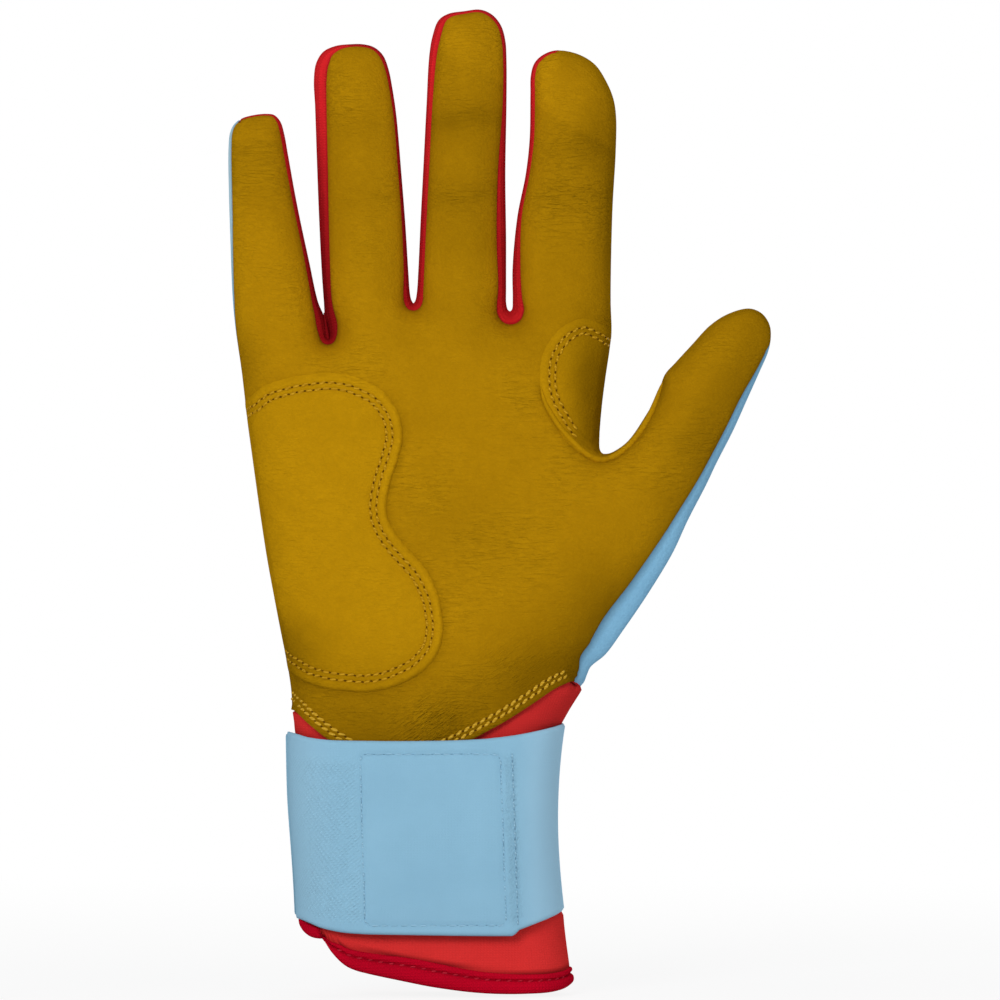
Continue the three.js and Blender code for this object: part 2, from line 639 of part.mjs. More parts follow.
// The outline of the heel patch, moved in by inset: a curve along its free edge, and the side of the hand.
function heelOutline(inset) {
  const left = (z) => leftEdge(z) + HEEL_EDGE_MARGIN + inset;
  const top = HEEL_TOP_Z - inset;
  const bottom = HEEL_BOTTOM_Z + inset;
  const freeEdge = [
    [left(top - HEEL_CORNER_DROP), top - HEEL_CORNER_DROP],
    [lerp(left(top), HEEL_UPPER_X, 0.5), top],
    [HEEL_UPPER_X - inset, HEEL_UPPER_Z],
    [HEEL_WAIST_X - inset, HEEL_WAIST_Z],
    [HEEL_LOWER_X - inset, HEEL_LOWER_Z],
    [lerp(left(bottom), HEEL_LOWER_X, 0.5), bottom],
    [left(bottom + HEEL_CORNER_DROP), bottom + HEEL_CORNER_DROP],
  ];
  const curve = new THREE.SplineCurve(freeEdge.map(([x, z]) => new THREE.Vector2(x, z)));
  const side = steps(HEEL_SIDE_STEPS).slice(1, -1).map((t) => {
    const z = lerp(bottom + HEEL_CORNER_DROP, top - HEEL_CORNER_DROP, t);
    return [left(z), z];
  });
  return [...curve.getPoints(HEEL_CURVE_STEPS).map((p) => [p.x, p.y]), ...side];
}

function addHeelPatch() {
  const foamTop = SEAM_GAP + FOAM_WALL;
  const pad = palmLayer(heelOutline(FOAM_MARGIN), foamTop, FOAM_WALL);
  const pocket = palmLayer(heelOutline(FOAM_MARGIN - SEAM_GAP), foamTop + SEAM_GAP, foamTop + SEAM_GAP);
  const patch = palmLayer(heelOutline(0), SEAM_GAP + PATCH_WALL, PATCH_WALL).subtract(pocket);
  addPiece("heel_pad_foam", pad, foam, glove);
  addPiece("heel_patch", patch, patchLeather, glove);
}

function addWebPatch() {
  const right = (z) => indexEdge(z) - HEEL_EDGE_MARGIN;
  const middle = (WEB_PATCH_TOP_Z + WEB_PATCH_BOTTOM_Z) / 2;
  const half = (WEB_PATCH_TOP_Z - WEB_PATCH_BOTTOM_Z) / 2;
  const outline = steps(WEB_PATCH_STEPS).map((t) => {
    const angle = Math.PI * (0.5 + t);
    const z = middle + half * Math.sin(angle);
    return [right(z) + (right(z) - WEB_PATCH_X) * Math.cos(angle), z];
  });
  const patch = palmLayer(outline, SEAM_GAP + WEB_PATCH_WALL, WEB_PATCH_WALL);
  addPiece("thumb_web_patch", patch, patchLeather, glove);
}

// Cuff and strap

// A point of the wrist's section at height z.
// The turn is 0 on the right, 0.25 in front, 0.5 on the left and 0.75 behind.
const CORNER_TURN = 0.14;
function wristPoint(z, turn, grow) {
  const behind = turn > 0.5;
  const across = behind ? 1 - turn : turn;
  const right = palmRightEdge(z) + grow;
  const left = leftEdge(z) - grow;
  const depth = (behind ? backDepth(z) : frontDepth(z)) + grow;
  const y = behind ? depth : -depth;
  if (across < CORNER_TURN) {
    const angle = ((across / CORNER_TURN) * Math.PI) / 2;
    return [lerp(STRAP_FLAT_RIGHT_X, right, Math.cos(angle)), y * Math.sin(angle), z];
  }
  if (across > 0.5 - CORNER_TURN) {
    const angle = (((0.5 - across) / CORNER_TURN) * Math.PI) / 2;
    return [lerp(STRAP_FLAT_LEFT_X, left, Math.cos(angle)), y * Math.sin(angle), z];
  }
  const t = (across - CORNER_TURN) / (0.5 - 2 * CORNER_TURN);
  return [lerp(STRAP_FLAT_RIGHT_X, STRAP_FLAT_LEFT_X, t), y, z];
}

// A band round the wrist from one turn to another, between two heights that are read at x.
// Its inner face stands growAt(turn) outside the palm's own section.
function band(turn0, turn1, lowAt, highAt, growAt, wallAt, across, along) {
  const sheet = (share) => (u, v) => {
    const turn = (lerp(turn0, turn1, u) + 1) % 1;
    const [x] = wristPoint(WRIST_Z, turn, 0);
    return wristPoint(lerp(lowAt(x), highAt(x), v), turn, growAt(turn) + share * wallAt(turn));
  };
  return thickSheet(across, along, sheet(1), sheet(0));
}

// The lower edge slopes from the slit down to the front and rises a little on the thumb side.
const cuffBottom = profile([
  [CUFF_LEFT_X, CUFF_LEFT_RISE],
  [CUFF_SLIT_X, CUFF_SLIT_RISE],
  [STRAP_FLAT_MIDDLE, CUFF_FRONT_RISE],
  [CUFF_LOW_X, 0],
  [CUFF_RIGHT_X, CUFF_RIGHT_RISE],
]);
const CUFF_INSET = LEATHER_WALL + CUFF_CLEARANCE + CUFF_WALL;

// The turn at which the front of the wrist reaches x, on its left corner.
function leftCornerTurn(x) {
  const reach = (STRAP_FLAT_LEFT_X - x) / (STRAP_FLAT_LEFT_X - WRIST_LEFT_X);
  return 0.5 - (Math.acos(reach) / (Math.PI / 2)) * CORNER_TURN;
}

function addCuff() {
  const slitHalf = CUFF_SLIT_GAP / 2;
  const flapEnd = leftCornerTurn(CUFF_SLIT_X + slitHalf);
  const underEnd = leftCornerTurn(CUFF_SLIT_X - slitHalf) - 1;
  const tapeTop = (x) => cuffBottom(x) + BINDING_HEIGHT;
  const cuffLow = (x) => tapeTop(x) + SEAM_GAP;
  const cuffHigh = () => CUFF_TOP_Z;
  const cuffGrow = () => -CUFF_INSET;
  const tapeGrow = () => -CUFF_INSET - BINDING_LIP;
  const tapeWall = () => CUFF_WALL + 2 * BINDING_LIP;
  const cuff = band(underEnd, flapEnd, cuffLow, cuffHigh, cuffGrow, () => CUFF_WALL, CUFF_COLUMNS, CUFF_ROWS);
  const tape = band(underEnd, flapEnd, cuffBottom, tapeTop, tapeGrow, tapeWall, CUFF_COLUMNS, 1);
  addPiece("cuff", cuff, cuffNeoprene, glove);
  addPiece("cuff_binding", tape, bindingTape, glove);
}

const strapTop = profile([
  [WRIST_LEFT_X, STRAP_TOP_Z + STRAP_FOLD_TOP_RISE],
  [STRAP_FLAT_LEFT_X, STRAP_TOP_Z],
  [STRAP_FLAT_MIDDLE, STRAP_TOP_Z],
  [STRAP_FLAT_RIGHT_X, STRAP_TOP_Z + STRAP_TOP_STEP],
  [WRIST_RIGHT_X, STRAP_TOP_Z + STRAP_END_RISE],
]);
const strapBottom = profile([
  [WRIST_LEFT_X, STRAP_BOTTOM_Z + STRAP_FOLD_BOTTOM_RISE],
  [STRAP_FLAT_LEFT_X, STRAP_BOTTOM_Z],
  [STRAP_FLAT_RIGHT_X, STRAP_BOTTOM_Z],
  [WRIST_RIGHT_X, STRAP_BOTTOM_Z + STRAP_END_RISE],
]);

// The strap lies on the cuff behind the wrist and at its free end, and in front over the closure pads.
function addStrap() {
  const flatStart = CORNER_TURN;
  const flatEnd = 0.5 - CORNER_TURN;
  const seated = STRAP_SEAT_GAP - CUFF_INSET + CUFF_WALL;
  const hookGrow = seated + LOOP_WALL + SEAM_GAP;
  const panelGrow = hookGrow + HOOK_WALL + SEAM_GAP;
  const closureLow = (x) => strapBottom(x) + CLOSURE_MARGIN;
  const closureHigh = (x) => Math.min(strapTop(x) - CLOSURE_MARGIN, HEM_POINT_Z - CLOSURE_MARGIN / 2);
  const pad = (grow, wall) =>
    band(flatStart, flatEnd, closureLow, closureHigh, () => grow, () => wall, FLAT_COLUMNS, FLAT_COLUMNS);
  addPiece("loop_pad", pad(seated, LOOP_WALL), closureNylon, glove);
  addPiece("hook_pad", pad(hookGrow, HOOK_WALL), closureNylon, glove);
  const single = () => STRAP_WALL;
  const tabGrow = (turn) => lerp(seated, panelGrow, turn / flatStart);
  const elasticGrow = (turn) => lerp(panelGrow, STRAP_FOLD_GROW, (turn - flatEnd) / CORNER_TURN);
  const pastFold = (turn) => Math.min((turn - 0.5) / CORNER_TURN, 1);
  const backWall = (turn) => lerp(STRAP_FOLD_GROW, seated, pastFold(turn)) + STRAP_WALL - seated;
  const lengths = [
    ["strap_tab", STRAP_CUT, flatStart - STRAP_CUT, STRAP_CORNER_COLUMNS, tabGrow, single],
    ["strap_panel", flatStart + STRAP_CUT, flatEnd - STRAP_CUT, FLAT_COLUMNS, () => panelGrow, single],
    ["strap_elastic", flatEnd + STRAP_CUT, 0.5 - STRAP_CUT, STRAP_CORNER_COLUMNS, elasticGrow, single],
    ["strap_back", 0.5 + STRAP_CUT, 1 - STRAP_CUT, STRAP_BACK_COLUMNS, () => seated, backWall],
  ];
  for (const [name, from, to, across, growAt, wallAt] of lengths) {
    const length = band(from, to, strapBottom, strapTop, growAt, wallAt, across, STRAP_ROWS);
    addPiece(name, length, strapFabric, glove);
  }
}

addPalm();
addBackOfHand();
addGussets();
addHeelPatch();
addWebPatch();
addCuff();
addStrap();

export default glove;
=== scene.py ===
# Batting glove for the right hand: the looks of the part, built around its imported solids.
# Millimetres inside this script, metres in Blender. +Z runs from the wrist to the fingertips,
# the palm faces -Y, and the thumb is on the +X side.
import math

import bpy
import numpy as np
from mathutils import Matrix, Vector, kdtree
from mathutils.geometry import delaunay_2d_cdt


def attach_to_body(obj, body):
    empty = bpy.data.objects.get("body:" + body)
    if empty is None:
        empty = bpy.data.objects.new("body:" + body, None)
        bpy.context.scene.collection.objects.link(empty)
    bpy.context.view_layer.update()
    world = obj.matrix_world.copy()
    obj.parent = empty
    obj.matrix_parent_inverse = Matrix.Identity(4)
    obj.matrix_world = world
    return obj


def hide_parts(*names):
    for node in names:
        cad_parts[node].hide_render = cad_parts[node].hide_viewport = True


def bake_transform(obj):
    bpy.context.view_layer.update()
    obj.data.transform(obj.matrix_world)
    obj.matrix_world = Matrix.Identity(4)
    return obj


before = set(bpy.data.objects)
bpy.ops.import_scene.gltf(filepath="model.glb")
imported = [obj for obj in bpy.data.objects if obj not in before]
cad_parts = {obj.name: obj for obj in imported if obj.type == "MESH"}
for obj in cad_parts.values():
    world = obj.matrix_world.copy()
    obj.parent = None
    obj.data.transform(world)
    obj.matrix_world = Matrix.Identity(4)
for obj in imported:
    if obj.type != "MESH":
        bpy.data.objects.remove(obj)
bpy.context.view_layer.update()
MM = 0.001
FRONT, BACK = -1, 1
SEARCH_PITCH = 0.15

# Outline of the glove in the plane of the hand, from the hem on the little finger's side, round the
# fingers, to the hem on the thumb's side. Each point is x, z and, where it isn't the usual one, the inset of
# the front seam.
USUAL_INSET = 1.0
OUTLINE = {
    "side": [
        (-35.35, 73.5, 0.8), (-35.55, 78.0), (-36.4, 84.2), (-37.5, 90.2), (-39.3, 99.8), (-41.6, 112.3),
        (-43.4, 124.0), (-45.6, 139.6), (-47.2, 150.8), (-48.5, 161.7), (-50.0, 172.1), (-50.8, 180.4),
    ],
    "little_left": [
        (-51.4, 195.5, 0.9), (-51.8, 208.5, 0.95), (-51.9, 218.9, 0.9), (-51.5, 223.3, 0.75),
        (-50.4, 225.6, 0.6), (-48.4, 227.1, 0.6), (-45.2, 228.0, 0.6),
    ],
    "little_right": [
        (-42.0, 228.3, 0.6), (-40.0, 228.0, 0.7), (-38.4, 226.3, 0.9), (-37.4, 223.1), (-36.4, 217.6),
        (-34.1, 204.9, 0.95), (-30.9, 189.8, 1.05), (-28.6, 179.4, 1.5), (-27.1, 175.8, 2.3),
        (-26.35, 172.9, 2.5), (-26.05, 171.1, 2.3),
    ],
    "ring_left": [
        (-25.95, 170.3, 2.1), (-25.85, 171.1, 2.3), (-26.15, 172.9, 2.7), (-26.85, 175.8, 2.7),
        (-27.1, 179.4, 2.2), (-27.6, 186.4, 2.3), (-28.3, 200.2, 2.6), (-28.9, 215.8, 2.9),
        (-29.4, 230.4, 3.1), (-29.7, 237.1, 3.4), (-29.1, 241.5, 3.4), (-27.2, 244.5, 2.9),
        (-23.9, 246.0, 1.6),
    ],
    "ring_right": [
        (-20.3, 246.4, 0.9), (-16.9, 246.4, 0.9), (-14.0, 245.6, 0.9), (-11.7, 243.5),
        (-10.3, 240.0, 0.9), (-9.2, 234.5, 0.8), (-8.2, 227.5, 0.75), (-6.9, 212.4, 0.8),
        (-5.9, 199.7, 0.9), (-5.1, 186.9, 1.2), (-4.7, 181.5, 1.7), (-4.3, 179.8, 2.0),
    ],
    "middle_left": [
        (-3.8, 179.1, 2.1), (-3.3, 179.8, 2.0), (-2.9, 182.0, 1.7), (-2.6, 186.4, 1.6),
        (-1.9, 201.5, 1.6), (-1.2, 215.0, 1.6), (-0.4, 230.9, 1.6), (0.3, 243.4, 2.0), (1.1, 248.3, 2.2),
        (2.7, 252.6, 2.0), (5.2, 254.3, 1.3), (9.4, 255.0, 0.9),
    ],
    "middle_right": [
        (13.5, 255.4, 0.9), (16.5, 254.2), (18.9, 251.4), (20.1, 247.3), (20.4, 242.3, 0.9),
        (20.4, 230.9), (20.1, 212.7, 2.0), (20.3, 195.8, 2.5), (20.3, 183.0, 2.1), (20.35, 178.8, 2.5),
        (20.8, 177.3, 3.1),
    ],
    "index_left": [
        (21.35, 177.0, 3.6), (21.85, 177.6, 3.2), (22.0, 180.0, 2.5), (21.95, 188.0, 2.1),
        (23.2, 201.5, 1.15), (25.4, 212.7), (26.4, 221.8, 1.15), (26.6, 233.2, 1.2), (26.7, 238.2, 1.15),
        (27.6, 241.4, 1.1), (29.5, 243.4), (32.5, 244.7, 0.8),
    ],
    "index_right": [
        (35.6, 244.7), (40.0, 243.4), (43.6, 240.9), (46.4, 236.6), (48.2, 232.2), (48.9, 227.5),
        (48.8, 218.4), (48.0, 204.4), (47.6, 190.3), (47.5, 179.1), (47.7, 171.9), (47.2, 167.4),
        (46.1, 160.2), (45.0, 151.3), (44.5, 143.5), (44.6, 141.1),
    ],
    "thumb_left": [
        (45.2, 140.1), (46.9, 140.0), (49.4, 141.2), (52.2, 143.5), (56.4, 149.6), (59.7, 155.5),
        (61.6, 160.6), (64.0, 163.3), (68.6, 168.3), (73.3, 173.3), (78.0, 176.3), (83.5, 177.7),
    ],
    "thumb_right": [
        (86.8, 176.4), (88.8, 173.4, 0.8), (89.1, 170.0, 0.5), (88.4, 166.4, 0.7), (86.3, 161.5),
        (82.9, 153.9, 1.8), (79.3, 145.9, 2.1), (75.0, 137.5, 2.2), (72.3, 131.8, 2.6),
        (67.6, 122.7, 3.4), (63.6, 114.1, 4.7), (57.2, 103.5, 5.5), (50.8, 94.1, 6.1), (46.1, 87.7, 5.3),
        (42.3, 84.5, 4.0), (41.3, 82.4, 3.2), (40.6, 80.6, 2.9), (39.6, 79.4, 2.8),
    ],
}
# What covers the side of the glove, by the part of the outline and the place in it from 0 to 1.
# The two numbers are the shares of the side, from the front, that leather and then red fabric reach.
COVER_MARKS = [
    ("side", 0.0, 1.0, 1.0), ("side", 0.27, 0.82, 0.82), ("side", 0.64, 0.64, 0.64),
    ("side", 0.74, 0.5, 0.5), ("side", 0.91, 0.16, 0.16), ("little_left", 0.06, 0.0, 0.0),
    ("little_left", 0.66, 0.0, 0.0), ("little_left", 0.72, 0.0, 1.0), ("index_left", 0.93, 0.0, 1.0),
    ("index_right", 0.03, 1.0, 1.0), ("thumb_right", 0.076, 1.0, 1.0), ("thumb_right", 0.161, 0.0, 0.0),
    ("thumb_right", 1.0, 0.0, 0.0),
]
PALM_HEM = [
    (35.2, 80.3), (32.6, 79.0), (27.8, 75.75), (20.8, 71.2), (12.1, 66.4), (4.0, 62.5), (-3.0, 60.2),
    (-10.0, 59.6), (-18.0, 61.4), (-25.9, 66.2), (-30.8, 70.1), (-33.2, 71.95),
]
BACK_HEM = [(30.0, 76.5), (15.0, 75.5), (-5.0, 75.5), (-22.0, 75.8)]
HEEL_EDGE = [
    (-51.0, 152.6), (-46.7, 154.4), (-42.6, 157.3), (-32.6, 160.1), (-24.4, 160.8), (-17.4, 159.1),
    (-11.2, 155.7), (-7.4, 150.0), (-6.6, 144.3), (-7.4, 139.3), (-9.3, 133.0), (-10.7, 126.7),
    (-10.0, 122.2), (-6.1, 116.6), (-1.1, 110.9), (2.7, 103.4), (4.0, 97.1), (3.4, 90.7), (0.2, 85.1),
    (-4.8, 81.3), (-12.4, 78.8), (-21.2, 78.5), (-29.4, 80.0), (-36.0, 83.5), (-40.6, 86.3),
]
WEB_EDGE = [
    (51.2, 170.0), (47.6, 171.9), (44.4, 173.7), (40.1, 174.8), (35.8, 173.3), (31.9, 169.8),
    (29.5, 164.7), (29.1, 159.0), (29.6, 154.2), (32.2, 148.5), (36.5, 142.5), (40.6, 139.2),
    (43.4, 137.8), (46.5, 138.1), (46.5, 142.0),
]

# Fingers: knuckle point, lean in degrees, and along the finger the second joint, the cut of the base from the
# palm and the place where the bending over the knuckle starts.
FINGERS = {
    "little": {"x": -38.8, "z": 171.5, "lean": -6.5, "bend": 27.0, "cut": -1.5, "blend": 0.0},
    "ring": {"x": -15.3, "z": 180.0, "lean": -4.0, "bend": 31.0, "cut": -1.0, "blend": 1.0},
    "middle": {"x": 8.8, "z": 180.0, "lean": 1.9, "bend": 35.0, "cut": -1.0, "blend": 1.0},
    "index": {"x": 34.9, "z": 175.5, "lean": 3.2, "bend": 32.0, "cut": -0.5, "blend": 1.5},
    "thumb": {"x": 57.2, "z": 132.1, "lean": 30.5, "bend": 25.0, "cut": -0.5, "blend": 1.5},
}
MIDDLE_CUT = 14.0
CROTCH_SAMPLES = 3
FINGER_HALF, THUMB_HALF = 14, 16
# Leather of the fingers: heights z of two creases, how deep and wrinkled they are, how much painted shade
# darkens each crease and the finger, how much more on its side turned from the light, and how much painted
# light makes its two sides paler.
FINGER_LOOKS = {
    "little": {"creases": (218.9, 204.6), "depth": 0.7, "wrinkles": 0.25, "dark": (0.06, 0.04),
               "shade": 0.02, "turned": 0.3, "painted_rims": (1.0, 0.6)},
    "ring": {"creases": (225.4, 204.6), "depth": 0.7, "wrinkles": 0.35, "dark": (0.1, 0.08),
             "shade": 0.0, "turned": 0.04, "painted_rims": (0.6, 1.3)},
    "middle": {"creases": (226.7, 205.9), "depth": 0.9, "wrinkles": 0.6, "dark": (0.3, 0.16),
               "shade": 0.2, "turned": 0.12, "painted_rims": (1.3, 1.5)},
    "index": {"creases": (219.0, 206.0), "depth": 0.4, "wrinkles": 0.7, "dark": (0.06, 0.08),
              "shade": 0.12, "turned": 0.4, "painted_rims": (1.4, 0.0)},
}


# Curves and measures


def smoothstep(low, high, value):
    """0 at low and before it, 1 at high and beyond it, with a smooth rise between."""
    t = np.clip((value - low) / (high - low), 0.0, 1.0)
    return t * t * (3 - 2 * t)


def rise_from(start, span, value):
    """A smooth rise over a span that is measured from a start."""
    return smoothstep(start + span[0], start + span[1], value)


def bell(value, width):
    """1 where the value is 0, falling to almost nothing at twice the width."""
    return np.exp(-((value / width) ** 2))


def spots(x, z, places):
    """The sum of soft spots, each given as x, z, half width, half height and strength."""
    return sum(strength * np.exp(-(((x - cx) / wide) ** 2 + ((z - cz) / tall) ** 2))
               for cx, cz, wide, tall, strength in places)


def read_pairs(value, pairs):
    """The broken line through (position, value) pairs."""
    return np.interp(value, *np.array(pairs, float).T)


def unit(v):
    return v / np.maximum(np.linalg.norm(v, axis=-1, keepdims=True), 1e-9)


def spline(points, step):
    """A dense smooth curve through points, as rows of values, with each row's place in the list."""
    p = np.array(points, float)
    p = np.vstack([2 * p[0] - p[1], p, 2 * p[-1] - p[-2]])
    rows, places = [], []
    for i in range(1, len(p) - 2):
        p0, p1, p2, p3 = p[i - 1:i + 3]
        gap = [max(np.linalg.norm((b - a)[:2]), 1e-6) ** 0.5 for a, b in ((p0, p1), (p1, p2), (p2, p3))]
        m1 = (p2 - p1) + gap[1] * ((p1 - p0) / gap[0] - (p2 - p0) / (gap[0] + gap[1]))
        m2 = (p2 - p1) + gap[1] * ((p3 - p2) / gap[2] - (p3 - p1) / (gap[1] + gap[2]))
        count = max(2, int(np.linalg.norm((p2 - p1)[:2]) / step) + 1)
        t = np.linspace(0, 1, count, endpoint=False)[:, None]
        h = 2 * t**3 - 3 * t**2
        rows.append((h + 1) * p1 - h * p2 + (t**3 - 2 * t**2 + t) * m1 + (t**3 - t**2) * m2)
        places.append(i - 1 + t[:, 0])
    return np.vstack([*rows, p[-2:-1]]), np.concatenate([*places, [len(points) - 1.0]])


def inward_normals(line):
    """Unit normals to the right of a line of 2-D points, which face in where it runs clockwise."""
    d = unit(np.gradient(line, axis=0))
    return np.stack([d[:, 1], -d[:, 0]], axis=1)


def beside(line, distance):
    """A line moved to its right."""
    return line + inward_normals(line) * distance


def running_length(line):
    """How far along a line each of its points lies."""
    return np.concatenate([[0], np.cumsum(np.linalg.norm(np.diff(line, axis=0), axis=1))])


def read_rows(rows, run, at):
    """Rows of values along a line, read at other places along it."""
    return np.stack([np.interp(at, run, column) for column in rows.T], axis=1)


def resample(line, pitch):
    """Points along a line of 2-D or 3-D points at about the given pitch."""
    line = np.asarray(line, float)
    run = running_length(line)
    count = max(2, int(round(run[-1] / pitch)) + 1)
    return read_rows(line, run, np.linspace(0, run[-1], count))


def wavy(line, depth):
    """A line that wanders a little to both sides, as an edge cut and sewn by hand does."""
    run = running_length(line)
    wander = 0.5 * np.sin(run * 0.31) + 0.2 * np.sin(run * 0.83 + 2.0) + 0.3 * np.sin(run * 2.3 + 1.0)
    return beside(line, (depth * wander)[:, None])


def inside(points, polygon):
    """Which points lie inside a polygon."""
    x, z = points.T
    found = np.zeros(len(points), bool)
    for (ax, az), (bx, bz) in zip(polygon, np.roll(polygon, -1, axis=0)):
        if az != bz:
            crosses = (az > z) != (bz > z)
            found ^= crosses & (x < (bx - ax) * (z - az) / (bz - az) + ax)
    return found


def tree_of(points, numbers=None):
    """A search tree over points of the hand's plane, known by their numbers."""
    tree = kdtree.KDTree(len(points))
    for number, (x, z) in zip(range(len(points)) if numbers is None else numbers, points):
        tree.insert((x, z, 0.0), int(number))
    tree.balance()
    return tree


def distances(points, tree):
    """How far points of the hand's plane lie from the nearest point of a tree."""
    return np.array([tree.find((x, z, 0.0))[2] for x, z in points])


def distance_to(points, line):
    """How far points of the hand's plane lie from a line."""
    return distances(points, tree_of(resample(line, SEARCH_PITCH)))


# Outline, fingers and their cuts

DENSE_STEP = 0.08
OUTLINE_STEP = 0.85
TURN_WEIGHT = 0.6
EVEN_END = 16
LEAST_INSET = 0.3
BACK_INSET = 1.6
SIDE_HALF = 4.6
SIDE_TAPER, TAPER_POWER = 1.2, 1.5
THUMB_FROM_X, THUMB_TOP_Z = 49.5, 178.5
THUMB_TAPERS, FINGERS_TAPER = (132, 182), (178, 240)


class Outline:
    """The sampled outline: points, inward normals, half heights of the glove's side, and for both panels the
    inset of the seam and the share of the side that is cut in one with the panel."""

    def __init__(self):
        self.starts = dict(zip(OUTLINE, np.cumsum([0] + [len(part) for part in OUTLINE.values()])))
        points = [(*p, USUAL_INSET)[:3] for part in OUTLINE.values() for p in part]
        dense, place = spline(points, DENSE_STEP)
        normals = inward_normals(dense[:, :2])
        turn = np.arccos(np.clip((normals[1:] * normals[:-1]).sum(1), -1, 1))
        steps = np.linalg.norm(np.diff(dense[:, :2], axis=0), axis=1)
        measure = np.concatenate([[0], np.cumsum(steps + turn * (dense[1:, 2] + TURN_WEIGHT))])
        at = np.linspace(0, measure[-1], int(measure[-1] / OUTLINE_STEP) + 1)
        rows = read_rows(np.column_stack([dense, normals, place]), measure, at)
        self.count = len(rows)
        self.point, self.place = rows[:, :2], rows[:, 5]
        normal = rows[:, 3:5].copy()
        turned = np.linspace(0, 1, EVEN_END)[:, None]
        normal[-EVEN_END:] = normal[-EVEN_END] * (1 - turned) + normal[-1] * turned
        self.normal = unit(normal)
        self.inset = {FRONT: np.maximum(rows[:, 2], LEAST_INSET), BACK: np.full(self.count, BACK_INSET)}
        mark_at = [self.starts[name] + share * len(OUTLINE[name]) for name, share, _, _ in COVER_MARKS]
        self.leather = np.interp(self.place, mark_at, [mark[2] for mark in COVER_MARKS])
        self.red = np.interp(self.place, mark_at, [mark[3] for mark in COVER_MARKS])
        self.share = {FRONT: self.leather, BACK: 1 - self.red}
        x, z = self.point.T
        on_thumb = (x > THUMB_FROM_X) & (z < THUMB_TOP_Z)
        climb = [(z - low) / (high - low) for low, high in (THUMB_TAPERS, FINGERS_TAPER)]
        self.half = SIDE_HALF - SIDE_TAPER * np.clip(np.where(on_thumb, *climb), 0, 1) ** TAPER_POWER

    def index_of(self, name, share=0.0):
        """The sample at a share of one part of the outline."""
        return int(np.argmin(np.abs(self.place - (self.starts[name] + share * len(OUTLINE[name])))))

    def seam(self, facing):
        """The sewn edge of the front or back panel."""
        return self.point + self.normal * self.inset[facing][:, None]

    def side(self, i, v):
        """The surface of the side at samples i and shares v from the front seam to the back seam."""
        front = np.clip((0.5 - v) * 2, 0, 1) ** 2 * self.inset[FRONT][i]
        back = np.clip((v - 0.5) * 2, 0, 1) ** 2 * self.inset[BACK][i]
        flat = self.point[i] + self.normal[i] * (front + back)[..., None]
        return np.stack([flat[..., 0], (2 * v - 1) * self.half[i], flat[..., 1]], axis=-1)


outline = Outline()
outline_run = running_length(outline.point)


def finger_place(name, x, z):
    """How far across and along a finger a point of the hand's plane lies."""
    f = FINGERS[name]
    lean = math.radians(f["lean"])
    dx, dz = x - f["x"], z - f["z"]
    return dx * math.cos(lean) - dz * math.sin(lean), dx * math.sin(lean) + dz * math.cos(lean)


# Samples of the outline between which each finger lies, from crotch to crotch
crotches = [0, *[outline.index_of(name + "_left") for name in list(FINGERS)[1:]], outline.count - 1]
FINGER_SPANS = dict(zip(FINGERS, zip(crotches[:-1], crotches[1:])))


def cut_pair(name, along):
    """The samples on the finger's left and right side that lie nearest to a place along it."""
    low, high = FINGER_SPANS[name]
    tip = outline.index_of(name + "_right")
    away = np.abs(finger_place(name, *outline.point.T)[1] - along)
    left = low + int(np.argmin(away[low:tip]))
    right = tip + int(np.argmin(away[tip:high + 1]))
    return max(left, low + CROTCH_SAMPLES), min(right, high - CROTCH_SAMPLES)


# Each finger is cut at the knuckle and half way to the second joint. The parts between are the body regions.
CUTS = {name: (cut_pair(name, f["cut"]), cut_pair(name, MIDDLE_CUT)) for name, f in FINGERS.items()}
FINGER_CUTS = [(f"{name}_{part}", left, right)
               for name, cuts in CUTS.items() for part, (left, right) in zip(("base", "tip"), cuts)]
column_region = np.full(outline.count, "hand", "<U16")
for region, left, right in FINGER_CUTS:
    column_region[left:right] = region


# Panels of the hand: the leather front and the fabric back

SOLVE_STEPS, SOLVED = 400, 1e-12
SEAM_ROWS = (0.4, 0.95, 1.6)
ROW_REACH = 5.0
ROW_STEP = 0.8
HEM_STEP = 0.9
HEM_SMOOTHING = 5.0
CUT_STEP = 1.1
BORDER_GAP = 0.25
POINT_GAP = 0.3
GRID_GAP = 0.62
ROW_CLEAR = 0.9
CDT_INSIDE, CDT_GAP = 1, 1e-6
STRIP_ROWS = 9
STRIP_SHARES = np.arange(1, STRIP_ROWS + 1) / STRIP_ROWS
LEAST_SHARE, THIN_SHARE = 0.02, 0.002
BASE_REACH = 14.0
DOME_REACH = 9.0
DOME_POWER = 0.62
DOME_SOFT = 0.03
RELIEF_START = 4
FACING_DEPTH = 0.2
FRONT_RISE = [(55, 13.6), (76, 13.4), (100, 11.6), (141, 10.2), (170, 10.4), (185, 11.0), (256, 11.0)]
BACK_RISE = [(55, 13.6), (76, 13.4), (100, 11.0), (141, 9.0), (170, 9.6), (185, 10.4), (256, 10.6)]
# How far layers stand up, by the distance from their sewn edge: the heel patch, the web patch and the hem.
HEEL_LIFT = [
    (0, 0.05), (0.35, 0.6), (0.8, 0.92), (1.4, 1.02), (2.0, 0.9), (2.6, 0.48), (3.4, 0.74), (4.2, 0.5),
    (5.0, 0.84), (8, 1.15), (14, 1.5), (30, 1.6),
]
WEB_LIFT = [
    (0, 0.05), (0.35, 0.4), (0.8, 0.58), (1.5, 0.58), (2.4, 0.32), (3.15, 0.5), (3.9, 0.32), (4.7, 0.56),
    (9, 0.8),
]
HEM_LIFT = [
    (0, 0.3), (0.5, 0.72), (1.05, 0.66), (1.65, 0.16), (2.3, 0.46), (2.95, 0.14), (3.8, 0.3), (6, 0.0),
]
